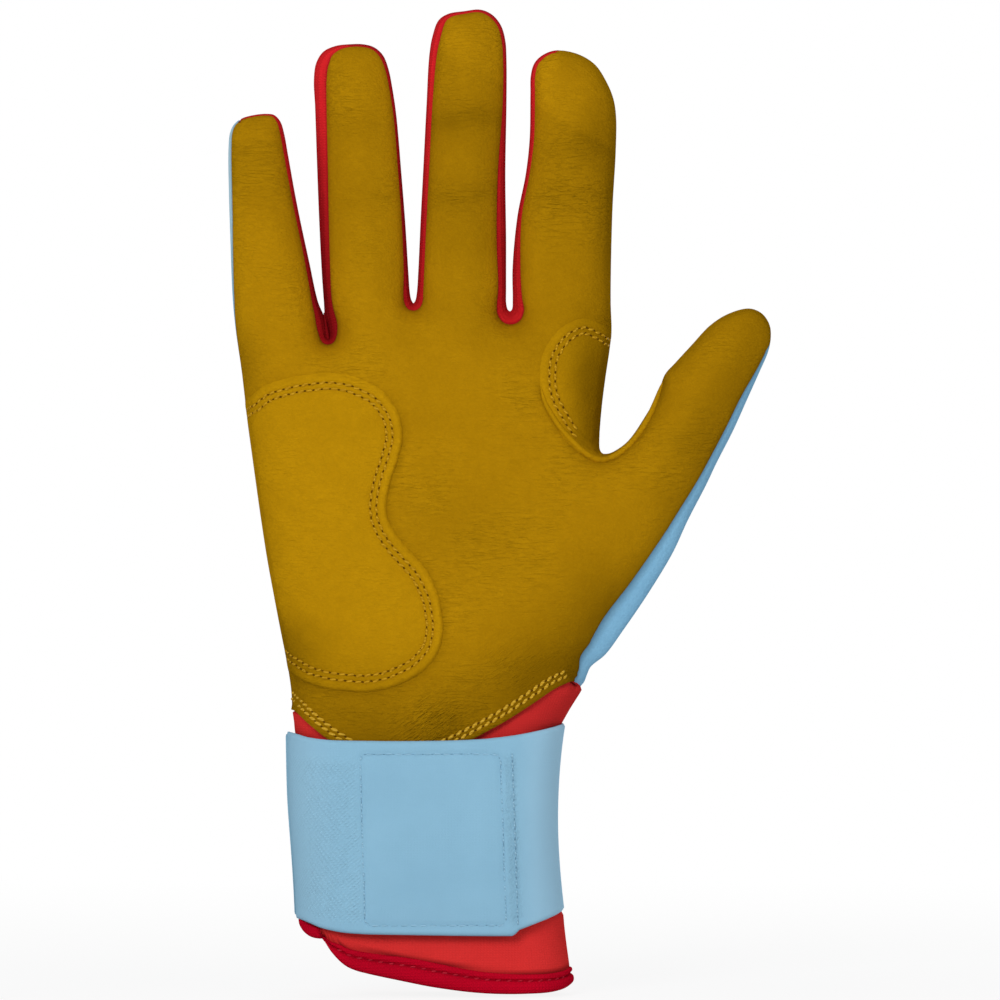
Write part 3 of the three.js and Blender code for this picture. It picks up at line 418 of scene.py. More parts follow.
# Mounds of the palm as soft spots, the pad below each knuckle, the lines of a crease as how far up, slope
# across, width and depth, and the knuckles and joints of the back.
PALM_MOUNDS = [(34, 112, 17, 22, 2.2), (6, 130, 15, 20, -1.6), (-26, 118, 16, 30, 0.9)]
PAD_BELOW, PAD_SIZE, PAD_RISE = 11, (9, 8), 0.7
CREASE_LINES = [(0.0, 0.0, 3.6, 1.15), (0.0, 0.12, 1.0, 0.3), (2.6, -0.08, 0.9, 0.2)]
KNUCKLE_AT, KNUCKLE_RISE, KNUCKLE_LONG = -6, 1.3, 7
JOINT_RISE, JOINT_LONG, KNUCKLE_WIDE = 0.7, 6, 8
THUMB_CREASE_DEPTH, THUMB_CREASE_WIDE = 0.5, 3.0


def solve_screened(flat, tris, reach, target, fixed, values):
    """Smooth field on a flat mesh: near values at fixed points, and near target further off than reach."""
    count = len(flat)
    a, b, c = (flat[tris[:, k]] for k in range(3))
    area2 = np.abs((b[:, 0] - a[:, 0]) * (c[:, 1] - a[:, 1]) - (b[:, 1] - a[:, 1]) * (c[:, 0] - a[:, 0]))
    area2 = np.maximum(area2, 1e-9)
    ends, weights = [], []
    for i, j, k in ((0, 1, 2), (1, 2, 0), (2, 0, 1)):
        u = flat[tris[:, i]] - flat[tris[:, k]]
        v = flat[tris[:, j]] - flat[tris[:, k]]
        weights.append(np.maximum((u * v).sum(1) / area2, 0.0) / 2)
        ends.append(tris[:, [i, j]])
    ends, weights = np.vstack(ends), np.concatenate(weights) * reach**2
    mass = np.bincount(tris.ravel(), np.repeat(area2 / 6, 3), count)
    diagonal = mass + np.bincount(ends[:, 0], weights, count) + np.bincount(ends[:, 1], weights, count)
    free = ~fixed

    def apply(x):
        out = diagonal * x
        out -= np.bincount(ends[:, 0], weights * x[ends[:, 1]], count)
        out -= np.bincount(ends[:, 1], weights * x[ends[:, 0]], count)
        return out

    x = np.where(fixed, values, target)
    residual = np.where(free, mass * target - apply(x), 0.0)
    scaled = residual / diagonal
    search = scaled.copy()
    power = residual @ scaled
    for _ in range(SOLVE_STEPS):
        if power < SOLVED:
            break
        image = np.where(free, apply(search), 0.0)
        step = power / (search @ image)
        x = x + step * search
        residual = residual - step * image
        scaled = residual / diagonal
        fresh = residual @ scaled
        search = scaled + fresh / power * search
        power = fresh
    return x


def dome(u):
    """A round rise from 0 to 1, steep at its foot."""
    soft = DOME_SOFT**DOME_POWER
    return ((np.maximum(u, 0) + DOME_SOFT) ** DOME_POWER - soft) / ((1 + DOME_SOFT) ** DOME_POWER - soft)


def front_relief(x, z):
    """Hollows and mounds of the palm side."""
    relief = spots(x, z, PALM_MOUNDS)
    for name, looks in FINGER_LOOKS.items():
        knuckle_x, knuckle_z = FINGERS[name]["x"], FINGERS[name]["z"]
        relief += spots(x, z, [(knuckle_x, knuckle_z - PAD_BELOW, *PAD_SIZE, PAD_RISE)])
        across, _ = finger_place(name, x, z)
        near = looks["depth"] * (np.abs(across) < FINGER_HALF)
        for crease in looks["creases"]:
            for up, slope, width, depth in CREASE_LINES:
                relief -= near * depth * bell(z - crease - up - slope * across, width)
    across, along = finger_place("thumb", x, z)
    near = THUMB_CREASE_DEPTH * (np.abs(across) < THUMB_HALF)
    return relief - near * bell(along - FINGERS["thumb"]["bend"], THUMB_CREASE_WIDE)


def back_relief(x, z):
    """Knuckles on the back of the hand."""
    relief = np.zeros_like(x)
    for name, f in FINGERS.items():
        across, along = finger_place(name, x, z)
        knuckle = KNUCKLE_RISE * bell(along - KNUCKLE_AT, KNUCKLE_LONG)
        joint = JOINT_RISE * bell(along - f["bend"], JOINT_LONG)
        relief += bell(across, KNUCKLE_WIDE) * (knuckle + joint)
    return relief


def widened(chosen):
    """A row of choices with the neighbours of the chosen ones added."""
    wide = chosen.copy()
    wide[1:] |= chosen[:-1]
    wide[:-1] |= chosen[1:]
    return wide


def grid_tris(grid):
    """Two triangles for each whole cell of a grid of point numbers, and the column and row of their cells."""
    a, b, c, d = grid[:-1, :-1], grid[1:, :-1], grid[1:, 1:], grid[:-1, 1:]
    whole = np.minimum(np.minimum(a, b), np.minimum(c, d)) >= 0
    tris = np.stack([a, b, c, a, c, d], axis=-1)[whole].reshape(-1, 3)
    return tris, np.repeat(np.argwhere(whole), 2, axis=0)


def vertex_normals(verts, tris):
    """Unit normals at points, from the faces round each."""
    corner = verts[tris]
    face = np.cross(corner[:, 1] - corner[:, 0], corner[:, 2] - corner[:, 0])
    normals = np.zeros_like(verts)
    for k in range(3):
        for axis in range(3):
            normals[:, axis] += np.bincount(tris[:, k], face[:, axis], len(verts))
    return normals / np.maximum(np.linalg.norm(normals, axis=1, keepdims=True), 1e-12)


def mesh_rows(lifts):
    """The distances from an edge at which a mesh needs rows of points for a layer's rise."""
    return [distance for distance, _ in lifts if distance <= ROW_REACH]


class Panel:
    """One face of the glove with the sides that are cut in one with it, as a mesh over the outline."""

    def __init__(self, facing, hem, rise, relief, pitch, patch_edges=()):
        self.facing = facing
        self.seam = outline.seam(facing)
        hem_line = resample(np.vstack([self.seam[-1:], hem, self.seam[:1]]), HEM_STEP)
        self.hem_line = spline(resample(hem_line, HEM_SMOOTHING), HEM_STEP)[0][1:-1]
        self.border = np.vstack([self.seam, self.hem_line])
        tris, seam_numbers = self.triangulate(pitch, patch_edges)
        self.inflate(tris, seam_numbers, rise, relief)

    def lines(self, pitch, patch_edges):
        """Points of the panel along its border, cuts, patches, hem and seams, then a grid of the given pitch
        between them, and the edges that the mesh has to follow."""
        border, tree = self.border, tree_of(self.border)
        points, edges = [border], [(i, (i + 1) % len(border)) for i in range(len(border))]

        def add(line):
            """Adds the points of a line that lie on the panel, and gives their numbers or -1."""
            keep = inside(line, border) & (distances(line, tree) > BORDER_GAP)
            numbers = np.where(keep, sum(map(len, points)) + np.cumsum(keep) - 1, -1)
            points.append(line[keep])
            return numbers

        def join(numbers):
            edges.extend((int(a), int(b)) for a, b in zip(numbers[:-1], numbers[1:]) if min(a, b) >= 0)

        near = np.array(SEAM_ROWS)
        for _, left, right in FINGER_CUTS:
            gap = np.linalg.norm(self.seam[right] - self.seam[left])
            inner = np.linspace(near[-1], gap - near[-1], int(gap / CUT_STEP))
            share = (np.concatenate([near[:-1], inner, gap - near[:-1][::-1]]) / gap)[:, None]
            numbers = add(self.seam[left] * (1 - share) + self.seam[right] * share)
            join([left, *numbers[numbers >= 0], right])
        for edge, lifts in patch_edges:
            line = resample(edge, ROW_STEP)
            for distance in mesh_rows(lifts):
                numbers = add(resample(beside(line, distance), ROW_STEP))
                if distance == 0:
                    join(numbers)
        for distance in mesh_rows(HEM_LIFT)[1:]:
            add(resample(beside(self.hem_line, distance), ROW_STEP))
        for distance in SEAM_ROWS:
            line = self.seam + outline.normal * distance
            keep = inside(line, border) & (distances(line, tree) > ROW_CLEAR * distance)
            keep &= distances(line, tree_of(np.vstack(points))) > POINT_GAP
            points.append(line[keep])
        low, high = border.min(0), border.max(0)
        row_step = pitch * math.sqrt(3) / 2
        grid = []
        for j in range(int((high[1] - low[1]) / row_step) + 1):
            x = np.arange(low[0] + (j % 2) * pitch / 2, high[0], pitch)
            grid.append(np.column_stack([x, np.full(len(x), low[1] + j * row_step)]))
        grid = np.vstack(grid)
        grid = grid[inside(grid, border)]
        points.append(grid[distances(grid, tree_of(np.vstack(points))) > GRID_GAP * pitch])
        return np.vstack(points), edges

    def triangulate(self, pitch, patch_edges):
        """Fills the border with triangles, and gives them with the numbers of the seam's points."""
        every, edges = self.lines(pitch, patch_edges)
        border_face = list(range(len(self.border)))[::-1]
        flat, _, faces, origin, _, _ = delaunay_2d_cdt(
            [tuple(p) for p in every], edges, [border_face], CDT_INSIDE, CDT_GAP)
        tris = np.array([f for f in faces if len(f) == 3])
        used = np.unique(tris)
        renumber = np.full(len(flat), -1)
        renumber[used] = np.arange(len(used))
        number_of = np.full(len(every), -1)
        for i, sources in enumerate(origin):
            number_of[sources] = renumber[i]
        self.flat, tris = np.array([tuple(p) for p in flat])[used], renumber[tris]
        u, v = self.flat[tris[:, 1]] - self.flat[tris[:, 0]], self.flat[tris[:, 2]] - self.flat[tris[:, 0]]
        wrong = self.facing * (u[:, 0] * v[:, 1] - u[:, 1] * v[:, 0]) > 0
        tris[wrong] = tris[wrong][:, ::-1]
        self.hem_row = number_of[outline.count:len(self.border)]
        return tris, number_of[:outline.count]

    def inflate(self, tris, seam_numbers, rise, relief):
        """Raises the panel from its seams, adds its sides and sorts the triangles into body regions."""
        count = len(self.flat)
        fixed, values = np.zeros(count, bool), np.zeros(count)
        fixed[seam_numbers] = True
        values[seam_numbers] = outline.half
        base = solve_screened(self.flat, tris, BASE_REACH, SIDE_HALF, fixed, values)
        swell = solve_screened(self.flat, tris, DOME_REACH, 1.0, fixed, np.zeros(count))
        x, z = self.flat.T
        depth = base + dome(swell) * read_pairs(z, rise) + relief(x, z) * np.minimum(1, swell * RELIEF_START)
        centre = self.flat[tris].mean(1)
        face_region = np.full(len(tris), "hand", column_region.dtype)
        for region, left, right in FINGER_CUTS:
            face_region[inside(centre, self.seam[left:right + 1])] = region
        share = outline.share[self.facing]
        columns = np.where(widened(share > LEAST_SHARE))[0]
        v = np.maximum(share[columns], THIN_SHARE)[:, None] * STRIP_SHARES
        side = outline.side(columns[:, None], v if self.facing == FRONT else 1 - v).reshape(-1, 3)
        self.side_grid = np.full((outline.count, STRIP_ROWS + 1), -1)
        self.side_grid[:, 0] = seam_numbers
        self.side_grid[columns, 1:] = np.arange(count, count + len(side)).reshape(-1, STRIP_ROWS)
        strip, self.strip_cells = grid_tris(self.side_grid)
        self.strip_start = len(tris)
        self.tris = np.vstack([tris, strip if self.facing == FRONT else strip[:, [0, 2, 1]]])
        self.region = np.concatenate([face_region, column_region[self.strip_cells[:, 0]]])
        self.verts = np.vstack([np.stack([x, self.facing * depth, z], axis=1), side])
        self.normals = vertex_normals(self.verts, self.tris)
        facing = np.where(self.facing * self.verts[:, 1] > FACING_DEPTH)[0]
        self.tree = tree_of(self.verts[facing][:, [0, 2]], facing)

    def raise_hem(self, strength):
        """The panel's points and normals with the sewn hem raised."""
        lift = strength * read_pairs(hem_distance(self), HEM_LIFT)
        self.raised = self.verts + self.normals * lift[:, None]
        self.raised_normals = vertex_normals(self.raised, self.tris)

    def seen_border(self):
        """The edge of the panel as it shows from its own side."""
        uncovered = np.clip(1 - 2 * outline.share[self.facing], 0, 1)
        hidden = outline.inset[self.facing] * uncovered**2
        return np.vstack([outline.point + outline.normal * hidden[:, None], self.flat[self.hem_row]])


# Meshes


def link(obj):
    """Puts an object into the scene."""
    bpy.context.scene.collection.objects.link(obj)
    return obj


def new_object(name, verts, faces, material, looks=None, places=None, corner_normals=None):
    """A smooth mesh object from millimetre points. Each of the looks is one number a point.
    Textures read places, which are the points themselves where none are given."""
    mesh = bpy.data.meshes.new(name)
    mesh.from_pydata((np.asarray(verts) * MM).tolist(), [], faces)
    mesh.update()
    mesh.shade_smooth()
    place = mesh.attributes.new("rest_mm", "FLOAT_VECTOR", "POINT")
    place.data.foreach_set("vector", np.asarray(verts if places is None else places, np.float32).ravel())
    for label, values in (looks or {}).items():
        made = mesh.attributes.new(label, "FLOAT", "POINT")
        made.data.foreach_set("value", np.asarray(values, np.float32))
    mesh.materials.append(material)
    if corner_normals is not None:
        mesh.normals_split_custom_set(corner_normals.tolist())
    return link(bpy.data.objects.new(name, mesh))


def border_edges(tris):
    """The directed edges of a triangle set that have no neighbour."""
    every = np.vstack([tris[:, [0, 1]], tris[:, [1, 2]], tris[:, [2, 0]]])
    keys = {(a, b) for a, b in every.tolist()}
    return np.array([(a, b) for a, b in keys if (b, a) not in keys])


def shell(name, verts, normals, tris, wall, material, looks, places=None, lift=None):
    """A closed skin over some triangles: its outer face raised by lift, its inner face below them by wall."""
    keep = np.unique(tris)
    count = len(keep)
    renumber = np.full(len(verts), -1)
    renumber[keep] = np.arange(count)
    t = renumber[tris]
    raised, n = verts[keep], normals[keep]
    inner = raised - n * wall
    if lift is not None:
        raised = raised + n * lift[keep][:, None]
        n = vertex_normals(raised, t)
    border = border_edges(t)
    order = np.unique(border)
    rim = len(order)
    rim_at = np.full(count, -1)
    rim_at[order] = 2 * count + np.arange(rim)
    a, b = border.T
    edge_faces = np.stack([rim_at[b], rim_at[a], rim_at[a] + rim, rim_at[b] + rim], axis=1)
    faces = t.tolist() + (t[:, ::-1] + count).tolist() + edge_faces.tolist()
    edge_normals = unit(np.cross(raised[a] - raised[b], inner[a] - raised[a]))
    face_normals = [n[t].reshape(-1, 3), -n[t[:, ::-1]].reshape(-1, 3)]
    corner_normals = np.vstack([*face_normals, np.repeat(edge_normals, 4, axis=0)])
    source = np.concatenate([keep, keep, keep[order], keep[order]])
    looks = {label: values[source] for label, values in looks.items()}
    places = None if places is None else places[source]
    points = np.vstack([raised, inner, raised[order], inner[order]])
    return new_object(name, points, faces, material, looks, places, corner_normals)


def ring_faces(rows, around):
    """Faces of a closed skin over rows of points that go round, with a cap at each end."""
    faces = []
    for i in range(0, (rows - 1) * around, around):
        for j in range(around):
            k = (j + 1) % around
            faces.append([i + j, i + k, i + around + k, i + around + j])
    last = (rows - 1) * around
    return [*faces, list(range(around))[::-1], list(range(last, last + around))]


def loft(name, sections, material, looks, places=None):
    """A closed skin over a row of closed sections."""
    sections = np.asarray(sections)
    rows, around = sections.shape[:2]
    looks = {label: np.broadcast_to(values, (rows, around)).ravel() for label, values in looks.items()}
    places = None if places is None else np.reshape(places, (-1, 3))
    return new_object(name, sections.reshape(-1, 3), ring_faces(rows, around), material, looks, places)


def attach(obj, region, *nodes):
    """Moves a piece with the body of the hand or the strap; any other piece only has its place baked in."""
    if region in ("hand", "strap"):
        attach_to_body(obj, region)
    else:
        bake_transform(obj)
    if nodes:
        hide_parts(*nodes)
    return obj


# Materials


def linear(*screen):
    """A screen colour from 0 to 255 as the linear colour that a shader takes."""
    share = [value / 255 for value in screen]
    return (*[c / 12.92 if c <= 0.04045 else ((c + 0.055) / 1.055) ** 2.4 for c in share], 1.0)


# Scale at which the wave texture repeats once in a millimetre
WAVE_RATE = 2 * math.pi / 20
SHEEN_WEIGHT, SHEEN_ROUGHNESS = 0.03, 0.5


class Nodes:
    """Short ways to add nodes to a new material or world. Textures read millimetres at rest."""

    def __init__(self, owner, solid=False):
        owner.use_nodes = True
        self.owner, self.tree, self.solid = owner, owner.node_tree, solid

    def put(self, inputs, values):
        """Links sockets to inputs, and sets the inputs that have plain values."""
        for key, value in values.items():
            if isinstance(value, bpy.types.NodeSocket):
                self.tree.links.new(value, inputs[key])
            else:
                inputs[key].default_value = value

    def add(self, kind, values=None, **settings):
        node = self.tree.nodes.new(kind)
        for key, value in settings.items():
            setattr(node, key, value)
        self.put(node.inputs, values or {})
        return node

    def attribute(self, name, output="Fac"):
        return self.add("ShaderNodeAttribute", attribute_name=name).outputs[output]

    def stretched(self, scale=(1, 1, 1), turn=0.0):
        """Places in millimetres, turned about the depth and then scaled."""
        if self.solid:
            place = self.add("ShaderNodeTexCoord").outputs["Object"]
            scale = [s / MM for s in scale]
        else:
            place = self.attribute("rest_mm", "Vector")
        turned = self.add("ShaderNodeMapping", {"Vector": place, "Rotation": (0, turn, 0)})
        node = self.add("ShaderNodeMapping", {"Vector": turned.outputs["Vector"], "Scale": scale})
        return node.outputs["Vector"]

    def noise(self, scale, detail, rough, stretch=(1, 1, 1), turn=0.0):
        place = self.stretched(stretch, turn)
        values = {"Vector": place, "Scale": scale, "Detail": detail, "Roughness": rough}
        return self.add("ShaderNodeTexNoise", values).outputs["Fac"]

    def cells(self, scale, stretch=(1, 1, 1)):
        values = {"Vector": self.stretched(stretch), "Scale": scale}
        return self.add("ShaderNodeTexVoronoi", values).outputs["Distance"]

    def wave(self, length, direction, turn=0.0, distortion=0.0, detail=0.0):
        values = {"Vector": self.stretched(turn=turn), "Scale": WAVE_RATE / length,
                  "Distortion": distortion, "Detail": detail}
        return self.add("ShaderNodeTexWave", values, bands_direction=direction).outputs["Fac"]

    def math(self, operation, a, b=0.0):
        return self.add("ShaderNodeMath", {0: a, 1: b}, operation=operation).outputs[0]

    def times(self, a, b):
        return self.math("MULTIPLY", a, b)

    def sum(self, *terms):
        """The sum of (socket, weight) terms."""
        total, *others = [self.times(socket, weight) for socket, weight in terms]
        for part in others:
            total = self.math("ADD", total, part)
        return total

    def range(self, value, low, high, to_low=0.0, to_high=1.0):
        values = {"Value": value, "From Min": low, "From Max": high, "To Min": to_low, "To Max": to_high}
        return self.add("ShaderNodeMapRange", values).outputs["Result"]

    def mix(self, share, a, b):
        return self.add("ShaderNodeMix", {0: share, 6: a, 7: b}, data_type="RGBA").outputs[2]

    def tint(self, color, look, amount, target):
        """A colour mixed with another one as far as one of the mesh's looks says."""
        return self.mix(self.times(self.attribute(look), amount), color, target)

    def seen(self):
        """1 for rays from the camera, in reflections and through clear things, 0 for the light itself."""
        path = self.add("ShaderNodeLightPath")
        seen = path.outputs["Is Camera Ray"]
        for label in ("Is Glossy Ray", "Is Transmission Ray"):
            seen = self.math("MAXIMUM", seen, path.outputs[label])
        return seen

    def finish(self, color, rough, height, depth, specular=0.0, sheen=None):
        """Sets the shader: colour, roughness, a bump, its depth in millimetres, and the sheen's colour."""
        bump = self.add("ShaderNodeBump", {"Height": height, "Distance": depth * MM}).outputs["Normal"]
        values = {"Base Color": color, "Roughness": rough, "Normal": bump, "Specular IOR Level": specular}
        if sheen:
            values["Sheen Weight"] = SHEEN_WEIGHT
            values["Sheen Roughness"] = SHEEN_ROUGHNESS
            values["Sheen Tint"] = sheen
        self.put(self.tree.nodes["Principled BSDF"].inputs, values)
        return self.owner


# Colours of painted shade on the leather and fabrics, and of painted light on the blue back and the strap.
GOLD_SEAM_SHADE = linear(84, 58, 2)
GOLD_SHADE = linear(112, 80, 2)
RED_PAINTED_SHADE = linear(84, 6, 12)
BLUE_PAINTED_SHADE = linear(92, 132, 160)
PAINTED_LIGHT_BLUE = linear(186, 218, 232)
STRAP_PAINTED_LIGHT = linear(168, 212, 238)
SLANT = math.radians(40)
HATCH_SLANT = math.radians(34)


def leather_material(name, light, dark, wrinkle):
    """Soft dyed leather: fine pores, short wrinkles across the hand, cloudy colour, and painted shade."""
    n = Nodes(bpy.data.materials.new(name))
    cloud = n.noise(0.05, 4.0, 0.6)
    mottle = n.noise(0.5, 4.0, 0.65)
    pores = n.cells(1.25, (1, 1, 1.25))
    fine = n.noise(2.4, 3.0, 0.6)
    lines = n.noise(1.0, 4.0, 0.6, (0.2, 0.4, 1.5))
    patchy = n.range(n.noise(0.05, 2.0, 0.5), 0.42, 0.62, 0.1, 1.0)
    depth = n.times(n.math("ADD", patchy, n.attribute("crease")), wrinkle)
    wrinkles = n.times(lines, depth)
    hatch = n.noise(1.3, 2.0, 0.5, (0.22, 1.0, 1.7), HATCH_SLANT)
    hatched = n.times(n.math("SUBTRACT", hatch, 0.5), n.attribute("hatch"))
    folds = n.noise(1.0, 3.0, 0.5, (0.15, 0.4, 0.9))
    folds = n.range(n.math("ABSOLUTE", n.math("SUBTRACT", folds, 0.5)), 0.0, 0.05, -1.0, 0.0)
    folds = n.times(folds, n.times(depth, 0.5))
    height = n.sum((pores, 0.22), (fine, 0.14), (wrinkles, 1.0), (folds, 0.32), (hatched, 5.0))
    # The edge look lightens worn patch edges, and on the fingers' sides it is painted light.
    tone = n.sum((cloud, 0.5), (mottle, 0.26), (pores, -0.12), (n.attribute("edge"), 0.14), (wrinkles, 0.16),
                 (folds, 0.07), (hatched, 1.5))
    color = n.mix(n.range(tone, 0.15, 0.7), dark, light)
    # Painted shade from the shade look, and in seams, grooves and beside patches from the seam look.
    color = n.tint(color, "shade", 0.8, GOLD_SHADE)
    color = n.tint(color, "seam", 0.5, GOLD_SEAM_SHADE)
    return n.finish(color, n.range(mottle, 0.3, 0.7, 0.6, 0.72), height, 0.46)


def fabric_material(name, light, dark, seam, pitch, depth, nap=0.3, knit=False, solid=False, slant=0.0):
    """Fine cloth: crossing threads or a knit's small bumps, nap, cloudy colour, painted shade and light."""
    n = Nodes(bpy.data.materials.new(name), solid)
    cloud = n.noise(0.06, 3.0, 0.55)
    fuzz = n.noise(3.0, 3.0, 0.7)
    if knit:
        weave = n.cells(1 / pitch)
    else:
        weave = n.times(n.wave(pitch, "X", slant, 0.5, 1.0), n.wave(pitch * 0.8, "Z", slant, 0.5, 1.0))
    height = n.sum((weave, 1.0), (fuzz, nap))
    tone = n.sum((cloud, 0.5), (fuzz, 0.35), (weave, 0.22))
    color = n.mix(n.range(tone, 0.2, 0.75), dark, light)
    if not solid:
        # Painted light from the pale look, painted shade from the shade look and in seams from the seam look.
        for look, amount, target in (("pale", 0.9, PAINTED_LIGHT_BLUE), ("shade", 0.8, seam), ("seam", 0.8, seam)):
            color = n.tint(color, look, amount, target)
    return n.finish(color, n.range(fuzz, 0.3, 0.7, 0.74, 0.88), height, depth, sheen=light)


def strap_material(name, light, dark):
    """The strap: smooth knit, slanting brushed ribs at its left part and puckers by the second seam."""
    n = Nodes(bpy.data.materials.new(name))
    ribs = n.wave(0.8, "Z", SLANT, 0.3, 1.0)
    cross = n.range(n.wave(1.1, "X", SLANT, 1.2, 1.0), 0.0, 1.0, 0.25, 1.0)
    patchy = n.range(n.noise(0.35, 2.0, 0.6), 0.35, 0.6, 0.5, 1.0)
    fuzz = n.noise(3.4, 3.0, 0.7)
    cloud = n.noise(0.05, 3.0, 0.55)
    crumple = n.noise(1.5, 3.0, 0.6, (1.0, 1.0, 0.8))
    knit = n.times(n.wave(0.8, "X"), n.wave(0.7, "Z"))
    brushed = n.times(n.times(ribs, n.times(cross, patchy)), n.attribute("brushed"))
    pucker = n.times(n.math("SUBTRACT", crumple, 0.5), n.attribute("pucker"))
    height = n.sum((brushed, 0.68), (pucker, 2.4), (fuzz, 0.2), (knit, 0.05))
    tone = n.sum((cloud, 0.4), (fuzz, 0.3), (brushed, 0.2), (pucker, 0.5))
    color = n.mix(n.range(tone, 0.2, 0.75), dark, light)
    # Painted light on the strap's sides from the glow look, and painted shade in its seam grooves.
    color = n.tint(color, "glow", 0.6, STRAP_PAINTED_LIGHT)
    color = n.tint(color, "seam", 0.4, dark)
    return n.finish(color, 0.8, height, 0.3, sheen=light)


def thread_material(name, light, dark):
    """Twisted sewing thread."""
    n = Nodes(bpy.data.materials.new(name))
    twist = n.wave(0.7, "DIAGONAL", SLANT, 0.4, 1.0)
    fuzz = n.noise(4.0, 2.0, 0.6)
    color = n.mix(n.sum((twist, 0.6), (fuzz, 0.4)), dark, light)
    return n.finish(color, 0.7, twist, 0.15, specular=0.03)


GOLD = leather_material("gold_leather", linear(188, 139, 12), linear(156, 113, 7), 1.5)
GOLD_PATCH = leather_material("gold_patch_leather", linear(195, 145, 12), linear(165, 121, 8), 0.9)
RED = fabric_material("red_stretch_fabric", linear(232, 44, 46), linear(190, 26, 34), RED_PAINTED_SHADE, 0.9, 0.14)
CUFF_RED = fabric_material("red_cuff_neoprene", linear(224, 54, 52), linear(202, 44, 44), RED_PAINTED_SHADE, 0.8, 0.06)
TAPE = fabric_material("crimson_binding", linear(200, 10, 40), linear(164, 6, 30), RED_PAINTED_SHADE, 0.9, 0.14)
BLUE = fabric_material("blue_back_fabric", linear(138, 192, 225), linear(116, 170, 206), BLUE_PAINTED_SHADE, 0.8, 0.1,
                       knit=True)
STRAP_BLUE = strap_material("blue_strap", linear(150, 197, 222), linear(132, 177, 203))
GOLD_THREAD = thread_material("gold_thread", linear(210, 162, 36), linear(156, 112, 8))
HEM_THREAD = thread_material("hem_thread", linear(222, 180, 60), linear(176, 130, 20))
BLUE_THREAD = thread_material("blue_thread", linear(160, 202, 224), linear(122, 166, 192))
BLUE_HOLE_SHADE = thread_material("blue_needle_hole_shade", linear(116, 157, 184), linear(104, 144, 170))
RED_THREAD = thread_material("red_thread", linear(196, 44, 62), linear(150, 12, 34))
HOLE_SHADE = thread_material("needle_hole_shade", linear(104, 68, 4), linear(80, 50, 3))
CLOSURE = fabric_material("closure_nylon", linear(160, 200, 220), linear(126, 170, 196), BLUE_PAINTED_SHADE, 1.1, 0.5,
                          nap=1.0, solid=True, slant=0.6)


# Looks of the panels

FOLD_LINE = [
    (29.2, 157.0), (30.2, 153.4), (32.6, 149.0), (35.0, 145.6), (37.4, 142.9), (39.8, 140.6),
    (42.0, 139.0), (44.3, 138.1), (46.4, 138.2), (48.8, 139.2), (52.2, 141.8), (55.2, 145.4),
    (57.4, 149.0), (59.1, 152.6), (60.4, 156.0), (61.2, 158.4),
]
SEAM_WIDTH = 0.34
CURVE_STEP, FOLD_STEP = 0.2, 0.6
HEEL_WANDER, WEB_WANDER = 0.22, 0.18
FRONT_PITCH, BACK_PITCH = 1.15, 1.5
LIGHT_FROM = np.array([-0.57, 0.82])
HEM_CORNER = 12
SIDE_AWAY, SIDE_AWAY_ROWS = 6, 4
FAR_FROM_HEM = 99.0
EDGE_PITCH = 0.3
CREASE_WIDE, CREASE_TALL, CREASE_DARK_TALL, CREASE_MOST = 11, 5.5, 3.0, 1.2
CREASE_LOW, CREASE_HIGH = (-1.5, 0.5), (-0.5, 2.5)
LIT_LOSS, LIT_SPAN = 0.8, (-0.5, 0.6)
# Painted shade on the leather by the wrist, over the thumb, beside the web and on the fingers.
WRIST_DARK, WRIST_SHADE = (62, 96), 0.85
THUMB_DARK_FROM, THUMB_END = (2, 16), 70
# How much painted shade darkens the thumb all over, on the side turned from the light and along its ridge,
# and where across it these lie.
THUMB_SHADE, TURNED_SHADE, RIDGE_SHADE = 0.19, 0.36, 0.28
THUMB_TURN, RIDGE_AT, RIDGE_WIDE = (-1, 11), 3, 4.5
WEB_DARK_X, WEB_DARK_LOW, WEB_DARK_HIGH, WEB_END = (33, 42), (137, 145), (154, 190), 49
WEB_SHADE = 0.92
FINGER_DARK_FROM, FINGER_TURN, BETWEEN_SHADE = (4, 18), (4, 13), 0.05
# Where along and across a finger the painted light on its sides begins.
RIM_FROM, RIM_ACROSS = (-6, 4), (3, 9)
# Where and how much the painted shade of the seams fades up the fingers.
SEAM_FADES_Z, SEAM_LOSS = (176, 190), 0.6
# Painted shadow lines along the edges of the patches and beside the thumb's fold: strength and width.
HEEL_SHADOW, WEB_SHADOW, FOLD_SHADOW = (0.5, 1.3), (0.34, 0.8), (0.6, 1.1)
# Where painted light makes the blue side of the little finger paler.
PAINTED_LIGHT_SIDE_X, PAINTED_LIGHT_SIDE_Z = (-46.0, -51.5), (160, 204)
# Soft spots of the leather: where it is wrinkled, where slanting wrinkles cross it, and where painted shade
# darkens it, or less of it leaves painted highlights at the fingertips, on the heel and above the hem.
WRINKLED = [(34, 150, 16, 14, 0.6), (8, 76, 18, 10, 0.6), (22, 128, 14, 16, 0.15)]
HATCHED = [(1.5, 69.0, 9.0, 7.5, 1.0), (22, 84, 10, 7, 0.35)]
PAINTED_SHADE_SPOTS = [
    (40, 93, 15, 13, 0.3), (31, 81, 13, 14, 0.6), (44, 104, 9, 9, 0.3), (9, 121, 16, 11, 0.22),
    (-47, 165, 6, 9, 0.22), (-38, 92, 10, 9, 0.55), (42.5, 223, 4.5, 8, 0.45), (63, 130, 8, 8, 0.35),
    (-33, 88, 12, 8, 0.28), (32, 78, 9, 8, 0.2), (7.5, 246, 6, 10, -0.22), (33.5, 236, 8, 6, -0.06),
    (-18.5, 238, 6, 8, -0.06), (8.5, 216, 6, 7, -0.1), (-30, 120, 12, 34, -0.22), (-2.5, 70, 6, 8, -0.4),
]

